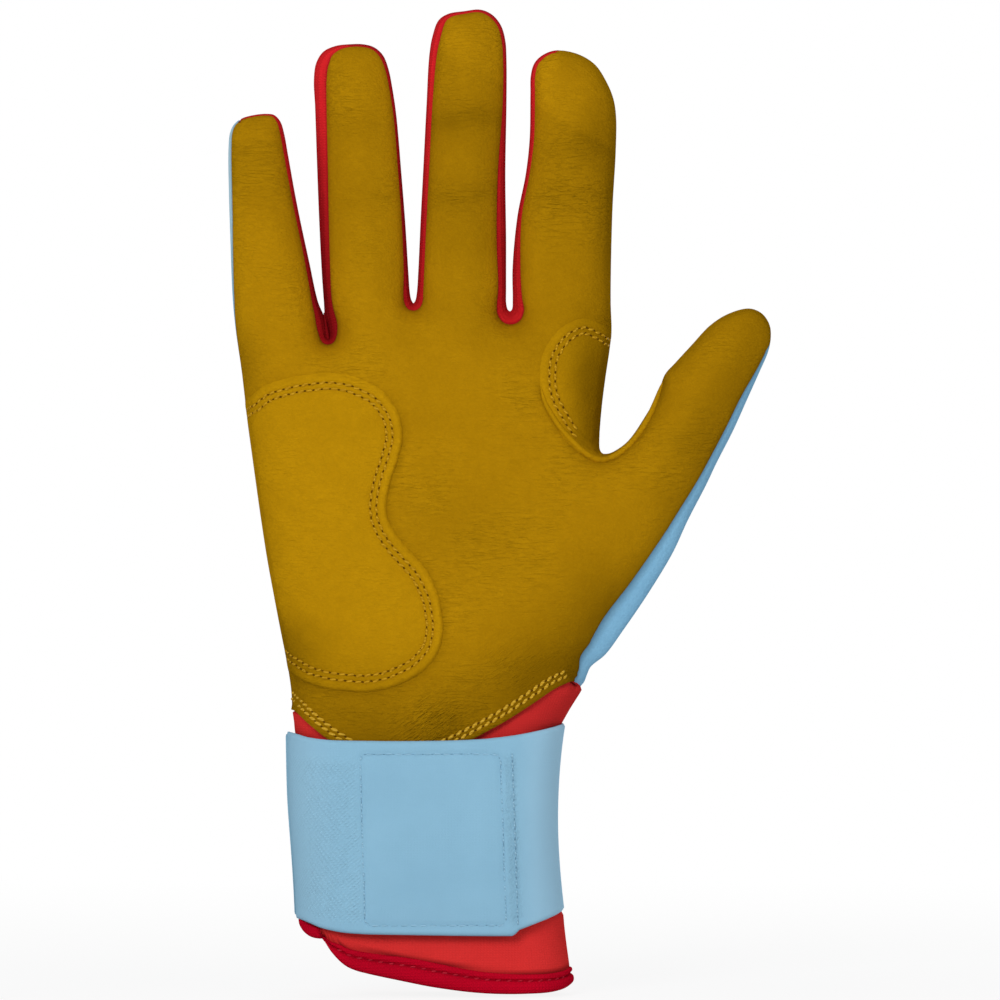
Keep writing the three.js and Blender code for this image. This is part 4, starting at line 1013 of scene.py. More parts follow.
heel_line = wavy(spline(HEEL_EDGE, CURVE_STEP)[0], HEEL_WANDER)
web_line = wavy(spline(WEB_EDGE[::-1], CURVE_STEP)[0], WEB_WANDER)
fold_line = resample(spline(FOLD_LINE, CURVE_STEP)[0], FOLD_STEP)
patch_edges = [(heel_line, HEEL_LIFT), (web_line, WEB_LIFT)]
front = Panel(FRONT, PALM_HEM, FRONT_RISE, front_relief, FRONT_PITCH, patch_edges)
back = Panel(BACK, BACK_HEM, BACK_RISE, back_relief, BACK_PITCH)
flat_front = front.verts[:, [0, 2]]


def hem_distance(panel):
    """How far each point lies from the hem, round the sides of the hand too."""
    far = np.full(len(panel.verts), FAR_FROM_HEM)
    far[:len(panel.flat)] = distance_to(panel.flat, panel.flat[panel.hem_row])
    ends = np.minimum(outline_run, outline_run[-1] - outline_run)
    round_corner = SIDE_AWAY * smoothstep(0, SIDE_AWAY_ROWS, np.arange(1, STRIP_ROWS + 1))
    for i in np.where((ends < HEM_CORNER) & (panel.side_grid[:, 1] >= 0))[0]:
        far[panel.side_grid[i, 1:]] = ends[i] + round_corner
    return far


def painted_seam_shade(panel):
    """Painted shade along a panel's sewn edge: 1 there, falling to 0 within the width of the seam."""
    share = outline.share[panel.facing]
    far = distances(panel.verts[:, [0, 2]], tree_of(panel.seam[share < LEAST_SHARE]))
    for i in np.where(panel.side_grid[:, 1] >= 0)[0]:
        far[panel.side_grid[i, 1:]] = (1 - STRIP_SHARES) * share[i] * 2 * outline.half[i]
    return bell(far, SEAM_WIDTH)


def crease_share(x, z):
    """How wrinkled the leather is, near the joints of the fingers and in the fold of the thumb."""
    share = spots(x, z, WRINKLED)
    for name, looks in FINGER_LOOKS.items():
        across, _ = finger_place(name, x, z)
        near = looks["wrinkles"] * np.exp(-((across / CREASE_WIDE) ** 4))
        for height in looks["creases"]:
            share += near * bell(z - height, CREASE_TALL)
    return np.clip(share, 0, CREASE_MOST)


def painted_shade_share(x, z):
    """Painted shade on the leather: by the wrist, in the creases, and where fingers turn from the light."""
    shade = WRIST_SHADE * (1 - smoothstep(*WRIST_DARK, z)) + spots(x, z, PAINTED_SHADE_SPOTS)
    across, along = finger_place("thumb", x, z)
    dark = THUMB_SHADE + TURNED_SHADE * smoothstep(*THUMB_TURN, across)
    dark += RIDGE_SHADE * bell(across - RIDGE_AT, RIDGE_WIDE)
    shade += dark * smoothstep(*THUMB_DARK_FROM, along) * (along < THUMB_END)
    beside_web = smoothstep(*WEB_DARK_LOW, z) * (1 - smoothstep(*WEB_DARK_HIGH, z))
    shade += WEB_SHADE * smoothstep(*WEB_DARK_X, x) * beside_web * (x < WEB_END)
    for name, looks in FINGER_LOOKS.items():
        across, along = finger_place(name, x, z)
        high, low = looks["creases"]
        between = rise_from(low, CREASE_LOW, z) * (1 - rise_from(high, CREASE_HIGH, z))
        dark = looks["shade"] + looks["turned"] * smoothstep(*FINGER_TURN, across) + BETWEEN_SHADE * between
        for height, darker in zip(looks["creases"], looks["dark"]):
            wander = 0.1 * across + 0.5 * np.sin(0.55 * across + height)
            dark += darker * bell(z - height - wander, CREASE_DARK_TALL)
        shade += dark * (np.abs(across) < FINGER_HALF) * smoothstep(*FINGER_DARK_FROM, along)
    return np.clip(shade, 0, 1)


def painted_rim_light(x, z):
    """How much painted light makes the leather paler along the two sides of a finger."""
    share = np.zeros(len(x))
    for name, looks in FINGER_LOOKS.items():
        across, along = finger_place(name, x, z)
        rim = np.where(across < 0, *looks["painted_rims"]) * smoothstep(*RIM_ACROSS, np.abs(across))
        share += rim * (np.abs(across) < FINGER_HALF) * smoothstep(*RIM_FROM, along)
    return share


def patch_edge(line):
    """How far points of the front lie from a patch's edge, and how sharply the edge shows there: little where
    it faces the light, fully where not."""
    dense = resample(line, EDGE_PITCH)
    tree = tree_of(dense)
    nearest = [tree.find((x, z, 0.0))[1] for x, z in flat_front]
    lit = -inward_normals(dense)[nearest] @ LIGHT_FROM
    return distance_to(flat_front, line), 1 - LIT_LOSS * smoothstep(*LIT_SPAN, lit)


def painted_shadow_line(away, strength, width):
    """How dark a painted shadow line is at some distance from it."""
    return strength * bell(away, width)


def front_looks():
    """What the leather's material reads at each point of the front, painted shade and painted light among it.
    """
    x, z = flat_front.T
    painted_patch_shadow = painted_shadow_line(from_heel, *HEEL_SHADOW) * heel_hard
    painted_patch_shadow += painted_shadow_line(from_web, *WEB_SHADOW) * web_hard
    painted_patch_shadow = np.maximum(painted_patch_shadow, painted_shadow_line(distance_to(flat_front, fold_line), *FOLD_SHADOW))
    seam = np.maximum(painted_seam_shade(front) * (1 - SEAM_LOSS * smoothstep(*SEAM_FADES_Z, z)), painted_patch_shadow)
    return {"crease": crease_share(x, z), "edge": painted_rim_light(x, z), "hatch": spots(x, z, HATCHED),
            "seam": seam, "shade": painted_shade_share(x, z)}


def back_looks():
    """What the blue material reads on the back: painted shade at seams, painted light by the little finger.
    """
    x, _, z = back.verts.T
    painted_light_side = smoothstep(*PAINTED_LIGHT_SIDE_X, x) * smoothstep(*PAINTED_LIGHT_SIDE_Z, z)
    return {"seam": painted_seam_shade(back), "shade": np.zeros(len(x)), "pale": painted_light_side}


# Leather and blue pieces

LEATHER_WALL = 1.0
FABRIC_WALL = 0.8
BACK_HEM_SHARE = 0.8
from_heel, heel_hard = patch_edge(heel_line)
from_web, web_hard = patch_edge(web_line)
front.raise_hem(1.0)
back.raise_hem(BACK_HEM_SHARE)
front.looks, back.looks = front_looks(), back_looks()
# Names of a panel's piece and of the node that it replaces, on the hand and on a finger
PANEL_PIECES = [
    (front, LEATHER_WALL, GOLD, ("palm_leather", "palm_panel"), ("_leather", "_front")),
    (back, FABRIC_WALL, BLUE, ("back_fabric", "back_panel"), ("_back_fabric", "_back")),
]
for region in ["hand", *[region for region, _, _ in FINGER_CUTS]]:
    for panel, wall, material, hand_names, ends in PANEL_PIECES:
        label, node = hand_names if region == "hand" else [region + end for end in ends]
        chosen = panel.tris[panel.region == region]
        made = shell(label, panel.raised, panel.raised_normals, chosen, wall, material, panel.looks)
        attach(made, region, node)


# Red fabric between the fingers

RED_ROWS = 14
RED_TUCK = 1.1
RED_UNDER = 0.25
RED_STEP, RED_STEP_FROM = 0.4, (0.85, 1.0)
RED_EDGE = 0.7
# Painted shade across a red side: a soft dark line inside its edges, and darker to the back; and painted
# highlights along its edges.
RED_LINE_SHADE, RED_LINE_AT, RED_LINE_WIDE = 0.2, 1.4, 1.6
RED_EDGE_HIGHLIGHT, RED_HIGHLIGHT_WIDE = 0.12, 1.2
RED_BACK_SHADE, RED_BACK_FROM = 0.4, (-1.5, 4.5)
RED_FINGERS = ["little", "ring", "middle", "index"]
red_wide = widened(outline.red - outline.leather > LEAST_SHARE)
# How much painted shade darkens the red sides of the fingers at some heights, from the knuckle to the tip.
RED_HEIGHTS = (176, 192, 212, 230)
RED_SHADE = {
    "little_left": (0.1, 0.1, 0.1, 0.1), "little_right": (0.75, 0.45, 0.24, 0.1),
    "ring_left": (0.85, 0.72, 0.5, 0.0), "ring_right": (0.4, 0.6, 0.6, 0.42),
    "middle_left": (0.3, 0.32, 0.18, 0.04), "middle_right": (0.3, 0.45, 0.4, 0.25),
    "index_left": (0.24, 0.22, 0.16, 0.1), "index_right": (0.1, 0.1, 0.1, 0.1),
}


def red_shade(i):
    """How much painted shade darkens the red side at a sample of the outline."""
    part = [p for p in RED_SHADE if outline.starts[p] <= outline.place[i] + 1e-6][-1]
    return np.interp(outline.point[i][1], RED_HEIGHTS, RED_SHADE[part])


def red_strip(name, first, last, region, *nodes):
    """A strip of the side from one sample of the outline to another, tucked in under the seams."""
    verts, seams, places, shades = [], [], [], []
    for i in [i for i in range(first, last + 1) if red_wide[i]]:
        low = outline.leather[i]
        high = max(outline.red[i], low + THIN_SHARE)
        v = np.linspace(low, high, RED_ROWS + 1)
        from_edge = np.minimum(v - low, high - v) * 2 * outline.half[i]
        inward = np.array([outline.normal[i][0], 0, outline.normal[i][1]])
        step = RED_STEP * smoothstep(*RED_STEP_FROM, outline.red[i])
        line = outline.side(np.full(len(v), i), v) + bell(from_edge, RED_EDGE)[:, None] * step * inward
        under = np.array([0, RED_UNDER, 0])
        verts += [line[:1] + inward * RED_TUCK - under, line, line[-1:] + inward * RED_TUCK + under]
        # Painted shade in the seams and where the strip tucks in under them.
        seams += [[1.0], bell(from_edge, SEAM_WIDTH), [1.0]]
        shade = RED_LINE_SHADE * bell(from_edge / RED_LINE_WIDE - RED_LINE_AT, 1.0)
        shade -= RED_EDGE_HIGHLIGHT * (from_edge < RED_HIGHLIGHT_WIDE)
        shades += [red_shade(i) + part for part in (np.zeros(1), shade, np.zeros(1))]
        across = (v - 0.5) * 2 * outline.half[i]
        across = np.concatenate([across[:1] - RED_TUCK, across, across[-1:] + RED_TUCK])
        places.append(np.column_stack([across, 0 * across, np.full(len(across), outline_run[i])]))
    verts = np.vstack(verts)
    tris, _ = grid_tris(np.arange(len(verts)).reshape(-1, RED_ROWS + 3))
    to_back = RED_BACK_SHADE * smoothstep(*RED_BACK_FROM, verts[:, 1])
    shade = np.clip(np.concatenate(shades) + to_back, 0, 1)
    looks = {"seam": np.concatenate(seams), "shade": shade}
    made = shell(name, verts, vertex_normals(verts, tris), tris, FABRIC_WALL, RED, looks, np.vstack(places))
    attach(made, region, *nodes)


for name, after in zip(RED_FINGERS, [*RED_FINGERS[1:], None]):
    (low_left, low_right), (mid_left, mid_right) = CUTS[name]
    base, tip = name + "_base", name + "_tip"
    tip_nodes = [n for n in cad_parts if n.startswith(tip + "_fourchette")]
    red_strip(tip + "_side_fabric", mid_left, mid_right, tip, *tip_nodes)
    if name != "little":
        red_strip(base + "_left_fabric", low_left, mid_left, base, base + "_fourchette_left")
    if after:
        red_strip(base + "_right_fabric", mid_right, low_right, base, base + "_fourchette_right")
        gusset = f"{name}_{after}_gusset_fabric"
        red_strip(gusset, low_right, CUTS[after][0][0], "hand", f"gusset_{name}_{after}")

GUSSET_LOW, GUSSET_HIGH = np.array([-25.95, 169.6]), np.array([-27.0, 176.6])
GUSSET_HALF_WIDTH = 0.85
GUSSET_FRONT, GUSSET_BACK = -3.0, 3.8
GUSSET_ROWS, GUSSET_SIDES = 16, 18
GUSSET_NARROWS, GUSSET_SHORTENS, GUSSET_SHIFT = 0.75, 0.35, 1.4


def circle(sides):
    """Even angles all the way round."""
    return np.linspace(0, 2 * np.pi, sides, endpoint=False)


def gusset_fold(name):
    """Red fabric folded together at the bottom of the gap between the little and ring fingers, in painted
    shade.
    """
    angle = circle(GUSSET_SIDES)
    sections = []
    for t in np.linspace(0, 1, GUSSET_ROWS):
        x, z = GUSSET_LOW + (GUSSET_HIGH - GUSSET_LOW) * t
        narrow = GUSSET_HALF_WIDTH * (1 - GUSSET_NARROWS * t**2)
        middle = (GUSSET_FRONT + GUSSET_BACK) / 2 + GUSSET_SHIFT * t**3
        reach = (GUSSET_BACK - GUSSET_FRONT) / 2 * (1 - GUSSET_SHORTENS * t**3)
        across, deep = x + narrow * np.cos(angle), middle + reach * np.sin(angle)
        sections.append(np.column_stack([across, deep, np.full(GUSSET_SIDES, z)]))
    # Painted shade all over the fold, and more of it as in a seam.
    attach(loft(name, sections, RED, {"seam": 0.45, "shade": 0.8}), "hand")


gusset_fold("little_ring_gusset_fold")


# Patches on the palm

PATCH_WALL = 0.15
# Painted shade in stitch rows, and painted shadow along a patch's edge where it faces from the light.
ROW_SHADE, ROW_WIDE = 0.3, 0.5
EDGE_SHADE, EDGE_WIDE = 0.6, 0.3
SOFT_EDGE, SOFT_EDGE_REACH = 0.75, (0.6, 2.4)
SIDE_LIFT = 0.12
HEEL_STITCHES = (2.6, 4.2)
WEB_STITCHES = (2.4, 3.9)
WRAP_ROWS = STRIP_ROWS - 2
WEB_REACH = 12
FACE_DEPTHS = (-8.0, -3.2)


def patch(name, line, edge, lifts, rows, wrap, nodes):
    """A second layer of leather sewn on the palm inside a line, folded round the side of the hand."""
    away, hard = edge
    first, last = wrap
    centre = flat_front[front.tris[:front.strip_start]].mean(1)
    column, row = front.strip_cells.T
    wrapped = np.where((column >= first) & (column < last) & (row < WRAP_ROWS))[0]
    numbers = np.concatenate([np.where(inside(centre, line))[0], front.strip_start + wrapped])
    x, y, z = front.verts.T
    face = 1 - smoothstep(*FACE_DEPTHS, y)
    uneven = 1 + face * (0.12 * np.sin(0.9 * x + 1.3) * np.sin(0.8 * z) + 0.08 * np.sin(2.1 * x - 1.7 * z))
    ramp = away * (1 - SOFT_EDGE * (1 - hard) * (1 - smoothstep(*SOFT_EDGE_REACH, away)))
    lift = read_pairs(ramp, lifts) * uneven * (SIDE_LIFT + (1 - SIDE_LIFT) * face)
    # Painted shadow beside the edge, and painted shade in the stitch rows.
    seam = EDGE_SHADE * hard * bell(away, EDGE_WIDE)
    for stitches in rows:
        seam = np.maximum(seam, ROW_SHADE * bell(away - stitches, ROW_WIDE))
    looks = {**front.looks, "crease": front.looks["crease"] * 0.5, "edge": np.clip(1 - away / 2.4, 0, 1),
             "hatch": np.zeros(len(x)), "seam": seam}
    made = shell(name, front.raised, front.raised_normals, front.tris[numbers], PATCH_WALL, GOLD_PATCH, looks,
                 lift=lift)
    return attach(made, "hand", *nodes), lift


def crossing(line, low, high):
    """The outline's sample from low to high that a line crosses or comes nearest to."""
    return low + int(np.argmin(distance_to(outline.point[low:high], line)))


heel_half, web_half = len(heel_line) // 2, len(web_line) // 2
little_low, index_low, thumb_low = CUTS["little"][0][0], CUTS["index"][0][1], FINGER_SPANS["thumb"][0]
heel_top = crossing(heel_line[:heel_half], 0, little_low)
heel_bottom = crossing(heel_line[heel_half:], 0, little_low)
heel_cover, heel_height = patch("heel_patch_cover", heel_line, (from_heel, heel_hard), HEEL_LIFT,
                                HEEL_STITCHES, (heel_bottom, heel_top), ("heel_patch", "heel_pad_foam"))
web_top = crossing(web_line[web_half:], index_low - WEB_REACH, thumb_low)
_, web_height = patch("web_patch_cover", web_line, (from_web, web_hard), WEB_LIFT, WEB_STITCHES,
                      (web_top, thumb_low), ("thumb_web_patch",))


# Stitches. Sizes of a stitch are half its length, width and height.

STITCH = (0.92, 0.33, 0.3)
STITCH_TILT = 0.24
STITCH_RISE = 0.1
STITCH_PITCH = 2.28
STITCH_ROWS, STITCH_SIDES = 7, 8
STITCH_END = 0.12
HOLE_SIZE = (0.36, 0.25, 0.12)
EDGE_MARGIN = 0.3
LINE_STEP = 0.5
AHEAD = 0.3
NEAREST, NEAR_SOFT = 6, 0.05
HEM_REACH = 7.0
HEM_STITCHES = (1.65, 2.95)
HEM_STITCH = (1.02, 0.4, 0.36)
HEM_TILT = 0.32
HEM_END_X = 36.6
WEB_END_X, WEB_END_Z = 38.6, 147.0


def capsules(name, centres, along, up, size, material, body, tilt=0.0):
    """Short rounded stitches at centres, lying along directions that are turned a little about up."""
    u = np.linspace(-1, 1, STITCH_ROWS)
    radius = np.sqrt(np.maximum(0, 1 - np.abs(u) ** 3))
    radius[[0, -1]] = STITCH_END
    angle = circle(STITCH_SIDES)
    beside_it = np.cross(up, along)
    length = along * math.cos(tilt) + beside_it * math.sin(tilt)
    width = beside_it * math.cos(tilt) - along * math.sin(tilt)
    shares = (u[:, None] + 0 * angle, radius[:, None] * np.cos(angle), radius[:, None] * np.sin(angle))
    verts = centres[:, None, None]
    for share, half, axis in zip(shares, size, (length, width, up)):
        verts = verts + share[..., None] * half * axis[:, None, None]
    verts = verts.reshape(-1, 3)
    one = ring_faces(STITCH_ROWS, STITCH_SIDES)
    starts = range(0, len(verts), STITCH_ROWS * STITCH_SIDES)
    faces = [[start + corner for corner in face] for start in starts for face in one]
    attach(new_object(name, verts, faces, material), body)


def sew(name, line, up, pitch, size, thread, body, hole=None, tilt=0.0):
    """Stitches in a row along a line of points with normals, and a hole's painted shade between each two."""
    run = running_length(line)
    count = max(1, int(run[-1] / pitch))
    middles = (np.arange(count) + 0.5) * run[-1] / count

    def places(at):
        ahead = unit(read_rows(line, run, at + AHEAD) - read_rows(line, run, at - AHEAD))
        return read_rows(line, run, at), ahead, unit(read_rows(up, run, at))

    centres, ahead, rise = places(middles)
    capsules(name, centres + rise * STITCH_RISE, ahead, rise, size, thread, body, tilt)
    if hole:
        capsules(name + "_holes", *places(middles[:-1] + run[-1] / count / 2), HOLE_SIZE, hole, body)


def on_surface(panel, points, lift=None):
    """Points and normals on a panel at places in the hand's plane, raised by each panel point's lift."""
    found, facing = [], []
    for x, z in points:
        near = panel.tree.find_n((x, z, 0.0), NEAREST)
        weights = np.array([1 / (d + NEAR_SOFT) ** 2 for _, _, d in near])
        weights /= weights.sum()
        numbers = [n for _, n, _ in near]
        normal = unit(weights @ panel.raised_normals[numbers])
        rise = 0.0 if lift is None else weights @ lift[numbers]
        found.append(np.array([x, weights @ panel.raised[numbers, 1], z]) + normal * rise)
        facing.append(normal)
    return np.array(found), np.array(facing)


def sew_rows(name, panel, lines, lift, thread, hole, size=STITCH, tilt=STITCH_TILT):
    """Numbered rows of stitches along lines in the hand's plane, as far as these lie on the panel."""
    border = panel.seen_border()
    for number, line in enumerate(lines):
        line = resample(line, LINE_STEP)
        line = line[inside(line, border) & (distances(line, tree_of(border)) > EDGE_MARGIN)]
        points, up = on_surface(panel, line, lift)
        sew(f"{name}_{number}", points, up, STITCH_PITCH, size, thread, "hand", hole, tilt)


def hem_rows(panel):
    """Lines beside the hem that run on straight over both ends."""
    hem = resample(panel.flat[panel.hem_row], 1.0)
    first, last = unit(hem[0] - hem[4]), unit(hem[-1] - hem[-5])
    line = np.vstack([hem[0] + first * HEM_REACH, hem, hem[-1] + last * HEM_REACH])
    return [beside(line, row) for row in HEM_STITCHES]


heel_rows = [beside(heel_line, row) for row in HEEL_STITCHES]
web_rows = [beside(web_line, row) for row in WEB_STITCHES]
web_rows = [line[(line[:, 0] < WEB_END_X) | (line[:, 1] > WEB_END_Z)] for line in web_rows]
palm_hem_rows = [line[line[:, 0] < HEM_END_X] for line in hem_rows(front)]
sew_rows("heel_stitches", front, heel_rows, heel_height, GOLD_THREAD, HOLE_SHADE)
sew_rows("web_stitches", front, web_rows, web_height, GOLD_THREAD, HOLE_SHADE)
sew_rows("hem_stitches", front, palm_hem_rows, None, HEM_THREAD, HOLE_SHADE, HEM_STITCH, HEM_TILT)
sew_rows("back_hem_stitches", back, hem_rows(back), None, BLUE_THREAD, None)


# Folded leather edge in the fold of the thumb

FOLD_RADIUS = 0.85
FOLD_SIDES = 14
FOLD_END = 0.03
FOLD_THIN, FOLD_GAIN, FOLD_GAIN_FROM = 0.8, 0.2, (0.05, 0.4)
FOLD_RISE, FOLD_SINK = 0.3, 0.05
# The rolled edge's looks: some wrinkles, a little lighter by the edge look, and a little painted shade.
FOLD_LOOKS = {"crease": 0.2, "edge": 0.2, "hatch": 0.0, "seam": 0.0, "shade": 0.1}


def thumb_fold(name):
    """A rolled edge along the fold line, thin at its ends."""
    reach = np.linspace(0, 1, len(fold_line))
    radius = FOLD_RADIUS * np.sqrt(np.clip(1 - np.abs(2 * reach - 1) ** 6, FOLD_END, 1))
    radius *= FOLD_THIN + FOLD_GAIN * smoothstep(*FOLD_GAIN_FROM, reach)
    centre, up = on_surface(front, fold_line)
    centre += up * (FOLD_RISE - FOLD_SINK * reach)[:, None]
    along = unit(np.gradient(centre, axis=0))
    side = unit(np.cross(along, up))
    up = np.cross(side, along)
    angle = circle(FOLD_SIDES)[:, None]
    outward = np.cos(angle) * side[:, None] + np.sin(angle) * up[:, None]
    rings = centre[:, None] + radius[:, None, None] * outward
    attach(loft(name, rings, GOLD_PATCH, FOLD_LOOKS), "thumb_base")


thumb_fold("thumb_fold_edge")


# Wrist, which the cuff and the strap go round


def profile(pairs):
    """A smooth curve through (position, value) pairs."""
    xs, ys = np.array(pairs, float).T
    low = np.maximum(np.arange(len(xs)) - 1, 0)
    high = np.minimum(np.arange(len(xs)) + 1, len(xs) - 1)
    slope = (ys[high] - ys[low]) / (xs[high] - xs[low])

    def read(at):
        at = np.clip(at, xs[0], xs[-1])
        i = np.clip(np.searchsorted(xs, at, side="right") - 1, 0, len(xs) - 2)
        span = xs[i + 1] - xs[i]
        t = (at - xs[i]) / span
        rise = t * t * (3 - 2 * t)
        bend = t * (1 - t) ** 2 * span * slope[i] + t * t * (t - 1) * span * slope[i + 1]
        return ys[i] * (1 - rise) + ys[i + 1] * rise + bend

    return read


WRIST_DEPTH = 18.0
WRIST_Z = 69.0
FLAT_LEFT, FLAT_RIGHT = -17.7, 21.3
CORNER = 0.14
wrist_left = profile([(0, -34.2), (69, -34.9), (100.6, -39.8)])
wrist_right = profile([(0, 38.8), (20, 35.2), (45, 33.4), (69, 35.2), (85, 39.8)])


def wrist_point(z, turn, grow):
    """A point of the wrist's section: turn 0 is on the right, 0.25 in front, 0.5 left and 0.75 behind."""
    z, turn, grow = np.broadcast_arrays(*[np.asarray(value, float) for value in (z, turn, grow)])
    turn = turn % 1
    behind = turn > 0.5
    across = np.where(behind, 1 - turn, turn)
    right, left = wrist_right(z) + grow, wrist_left(z) - grow
    depth = np.where(behind, 1, -1) * (WRIST_DEPTH + grow)
    right_angle = np.clip(across / CORNER, 0, 1) * math.pi / 2
    left_angle = np.clip((0.5 - across) / CORNER, 0, 1) * math.pi / 2
    level = np.clip((across - CORNER) / (0.5 - 2 * CORNER), 0, 1)
    x = FLAT_RIGHT + (FLAT_LEFT - FLAT_RIGHT) * level
    x = x + (right - FLAT_RIGHT) * np.cos(right_angle) * (across < CORNER)
    x = x + (left - FLAT_LEFT) * np.cos(left_angle) * (across > 0.5 - CORNER)
    y = depth * np.sin(right_angle) * np.sin(left_angle)
    return np.stack([x, y, z], axis=-1)


run_turns = np.linspace(-0.7, 1.1, 6000)
run_lengths = running_length(wrist_point(WRIST_Z, run_turns, 0.0))
run_lengths -= np.interp(0.25, run_turns, run_lengths)


def run_of(turn):
    """How far round the wrist a turn lies, in millimetres from the middle of its front."""
    return np.interp(turn, run_turns, run_lengths)


def even_turns(first, last, pitch):
    """Turns from first to last at even steps round the wrist."""
    start, end = run_of(first), run_of(last)
    count = int((end - start) / pitch) + 1
    return np.interp(np.linspace(start, end, count + 1), run_lengths, run_turns)


def unrolled(turn, z):
    """Places for the textures of a piece that goes round the wrist."""
    middle = (FLAT_LEFT + FLAT_RIGHT) / 2
    return np.column_stack([np.full(len(z), middle - run_of(turn)), np.zeros(len(z)), z])


def band_x(turn):
    """The place across the wrist at a turn round it."""
    return wrist_point(WRIST_Z, turn, 0.0)[..., 0]


def left_corner_turn(x):
    """The turn at which the front of the wrist's section reaches a place on its left corner."""
    reach = (FLAT_LEFT - x) / (FLAT_LEFT - float(wrist_left(WRIST_Z)))
    return 0.5 - math.acos(reach) / (math.pi / 2) * CORNER


# Cuff and its binding

CUFF_WALL = 1.8
CUFF_GROW = -1.9
CUFF_TOP = 85.0
CUFF_ROWS = 64
SLIT_X = -28.6
SLIT_TOP_X = -22.0
UNDER_PANEL = 1.5
CUFF_OVERLAP = 1.0
CUFF_STEP, TAPE_STEP = 1.2, 0.9
TUCK_FROM_Z, TUCK_EARLY = 56, 0.4
TUCK_DEPTH, TUCK_SPAN, SEAM_TUCK = 1.2, (0, 2.6), (-0.4, 1.8)
SIDE_CLEAR, LEAST_DEPTH = 0.35, 0.5
FLARE_TURN = 0.03
SLIT_BLEND = 0.09
SLIT_CLOSES = (48, 63)
# Where and how much painted shade darkens the cuff's upper part.
CUFF_DARK_X, CUFF_DARK_Z, CUFF_SHADE = (-30, -10), (58, 66), 0.24
TAPE_SEAM_WIDTH = 0.7
FLAP_OVER, UNDER_OVER = 0.1, -0.25
flare_right = profile([
    (0, 0.2), (4, 0.8), (7, 1.2), (12, 1.5), (18, 1.8), (20.6, 1.8), (22.4, 0.5), (24, 0.0), (66, 0.0),
    (70, 1.4), (74, 2.7), (79, 4.2), (82, 4.0), (86, 0.4),
])
flare_left = profile([
    (0, 1.2), (17, 1.2), (20, 0.6), (23, 0.0), (63.5, 0.0), (66.5, 1.5), (68, 1.7), (70.7, 1.8),
    (73.5, 1.9), (76, 1.2), (79, 0.0), (86, -0.5),
])
tape_low = profile([
    (-34.9, 19.4), (-34.2, 17.5), (-33.4, 16.3), (-32.9, 15.7), (-31.5, 14.8), (-29.7, 14.5),
    (-28.2, 14.6), (-27.4, 13.9), (-25.8, 11.2), (-23.4, 8.7), (-21.0, 7.2), (-16.2, 5.8), (-7.4, 3.9),
    (2.4, 2.0), (14.0, 0.6), (25.7, 0.4), (33.2, 1.1), (37.3, 3.8), (38.8, 5.0),
])
tape_height = profile([
    (-34.9, 4.6), (-29.4, 4.6), (-28.6, 0.6), (-27.4, 0.9), (-25.8, 2.6), (-23.4, 4.4), (-20.0, 5.0),
    (-12.0, 5.7), (-3.0, 6.4), (4.0, 6.2), (14.0, 5.5), (25.7, 5.0), (33.2, 4.7), (38.8, 3.6),
])
flap_end = left_corner_turn(SLIT_X + FLAP_OVER)
under_end = left_corner_turn(SLIT_X + UNDER_OVER) - 1
slit_shift = left_corner_turn(SLIT_TOP_X) - left_corner_turn(SLIT_X)
slit_close = (flap_end - under_end - 1) / 2
right_side = outline.point[outline.index_of("thumb_right", 0.7):][::-1]
left_side = outline.point[:outline.index_of("side", 0.5)]


def cuff_grow(z, turn):
    """How far the cuff's outer face stands outside the wrist: close under the strap, wider beyond it."""
    turn = turn % 1
    near_right = 1 - smoothstep(FLARE_TURN, CORNER, np.minimum(turn, 1 - turn))
    near_left = 1 - smoothstep(FLARE_TURN, CORNER, np.abs(turn - 0.5))
    return CUFF_GROW + near_right * flare_right(z) + near_left * flare_left(z)


def tucked(points, below):
    """Keeps points of the cuff under the panels and sides of the hand by an amount."""
    moved = points.copy()
    right_low, left_low = right_side[0][1], left_side[0][1]
    for n, (x, y, z) in enumerate(points):
        if z < TUCK_FROM_Z:
            continue
        panel = front if y < 0 else back
        if z > right_low - TUCK_EARLY:
            inset = outline.inset[panel.facing][-1]
            deeper = TUCK_DEPTH * rise_from(right_low, TUCK_SPAN, z)
            deeper += inset * min(1, abs(y) / SIDE_HALF) ** 2 * smoothstep(*SEAM_TUCK, z - right_low)
            moved[n][0] = min(x, np.interp(z, right_side[:, 1], right_side[:, 0]) - SIDE_CLEAR - deeper)
        if z > left_low:
            moved[n][0] = max(moved[n][0], np.interp(z, left_side[:, 1], left_side[:, 0]) + below)
        _, number, gap = panel.tree.find((x, z, 0.0))
        limit = max(abs(panel.raised[number][1]) - below + gap, LEAST_DEPTH)
        if abs(y) > limit:
            moved[n][1] = math.copysign(limit, y)
    return moved


def slit_turn(turn, z):
    """The slit of the cuff leans to the palm above the middle of the strap, and closes there."""
    share = smoothstep(*SLIT_CLOSES, z)
    near_flap = smoothstep(flap_end - SLIT_BLEND, flap_end, turn)
    near_under = 1 - smoothstep(under_end, under_end + SLIT_BLEND, turn)
    return turn + share * ((near_flap + near_under) * slit_shift + (near_under - near_flap) * slit_close)


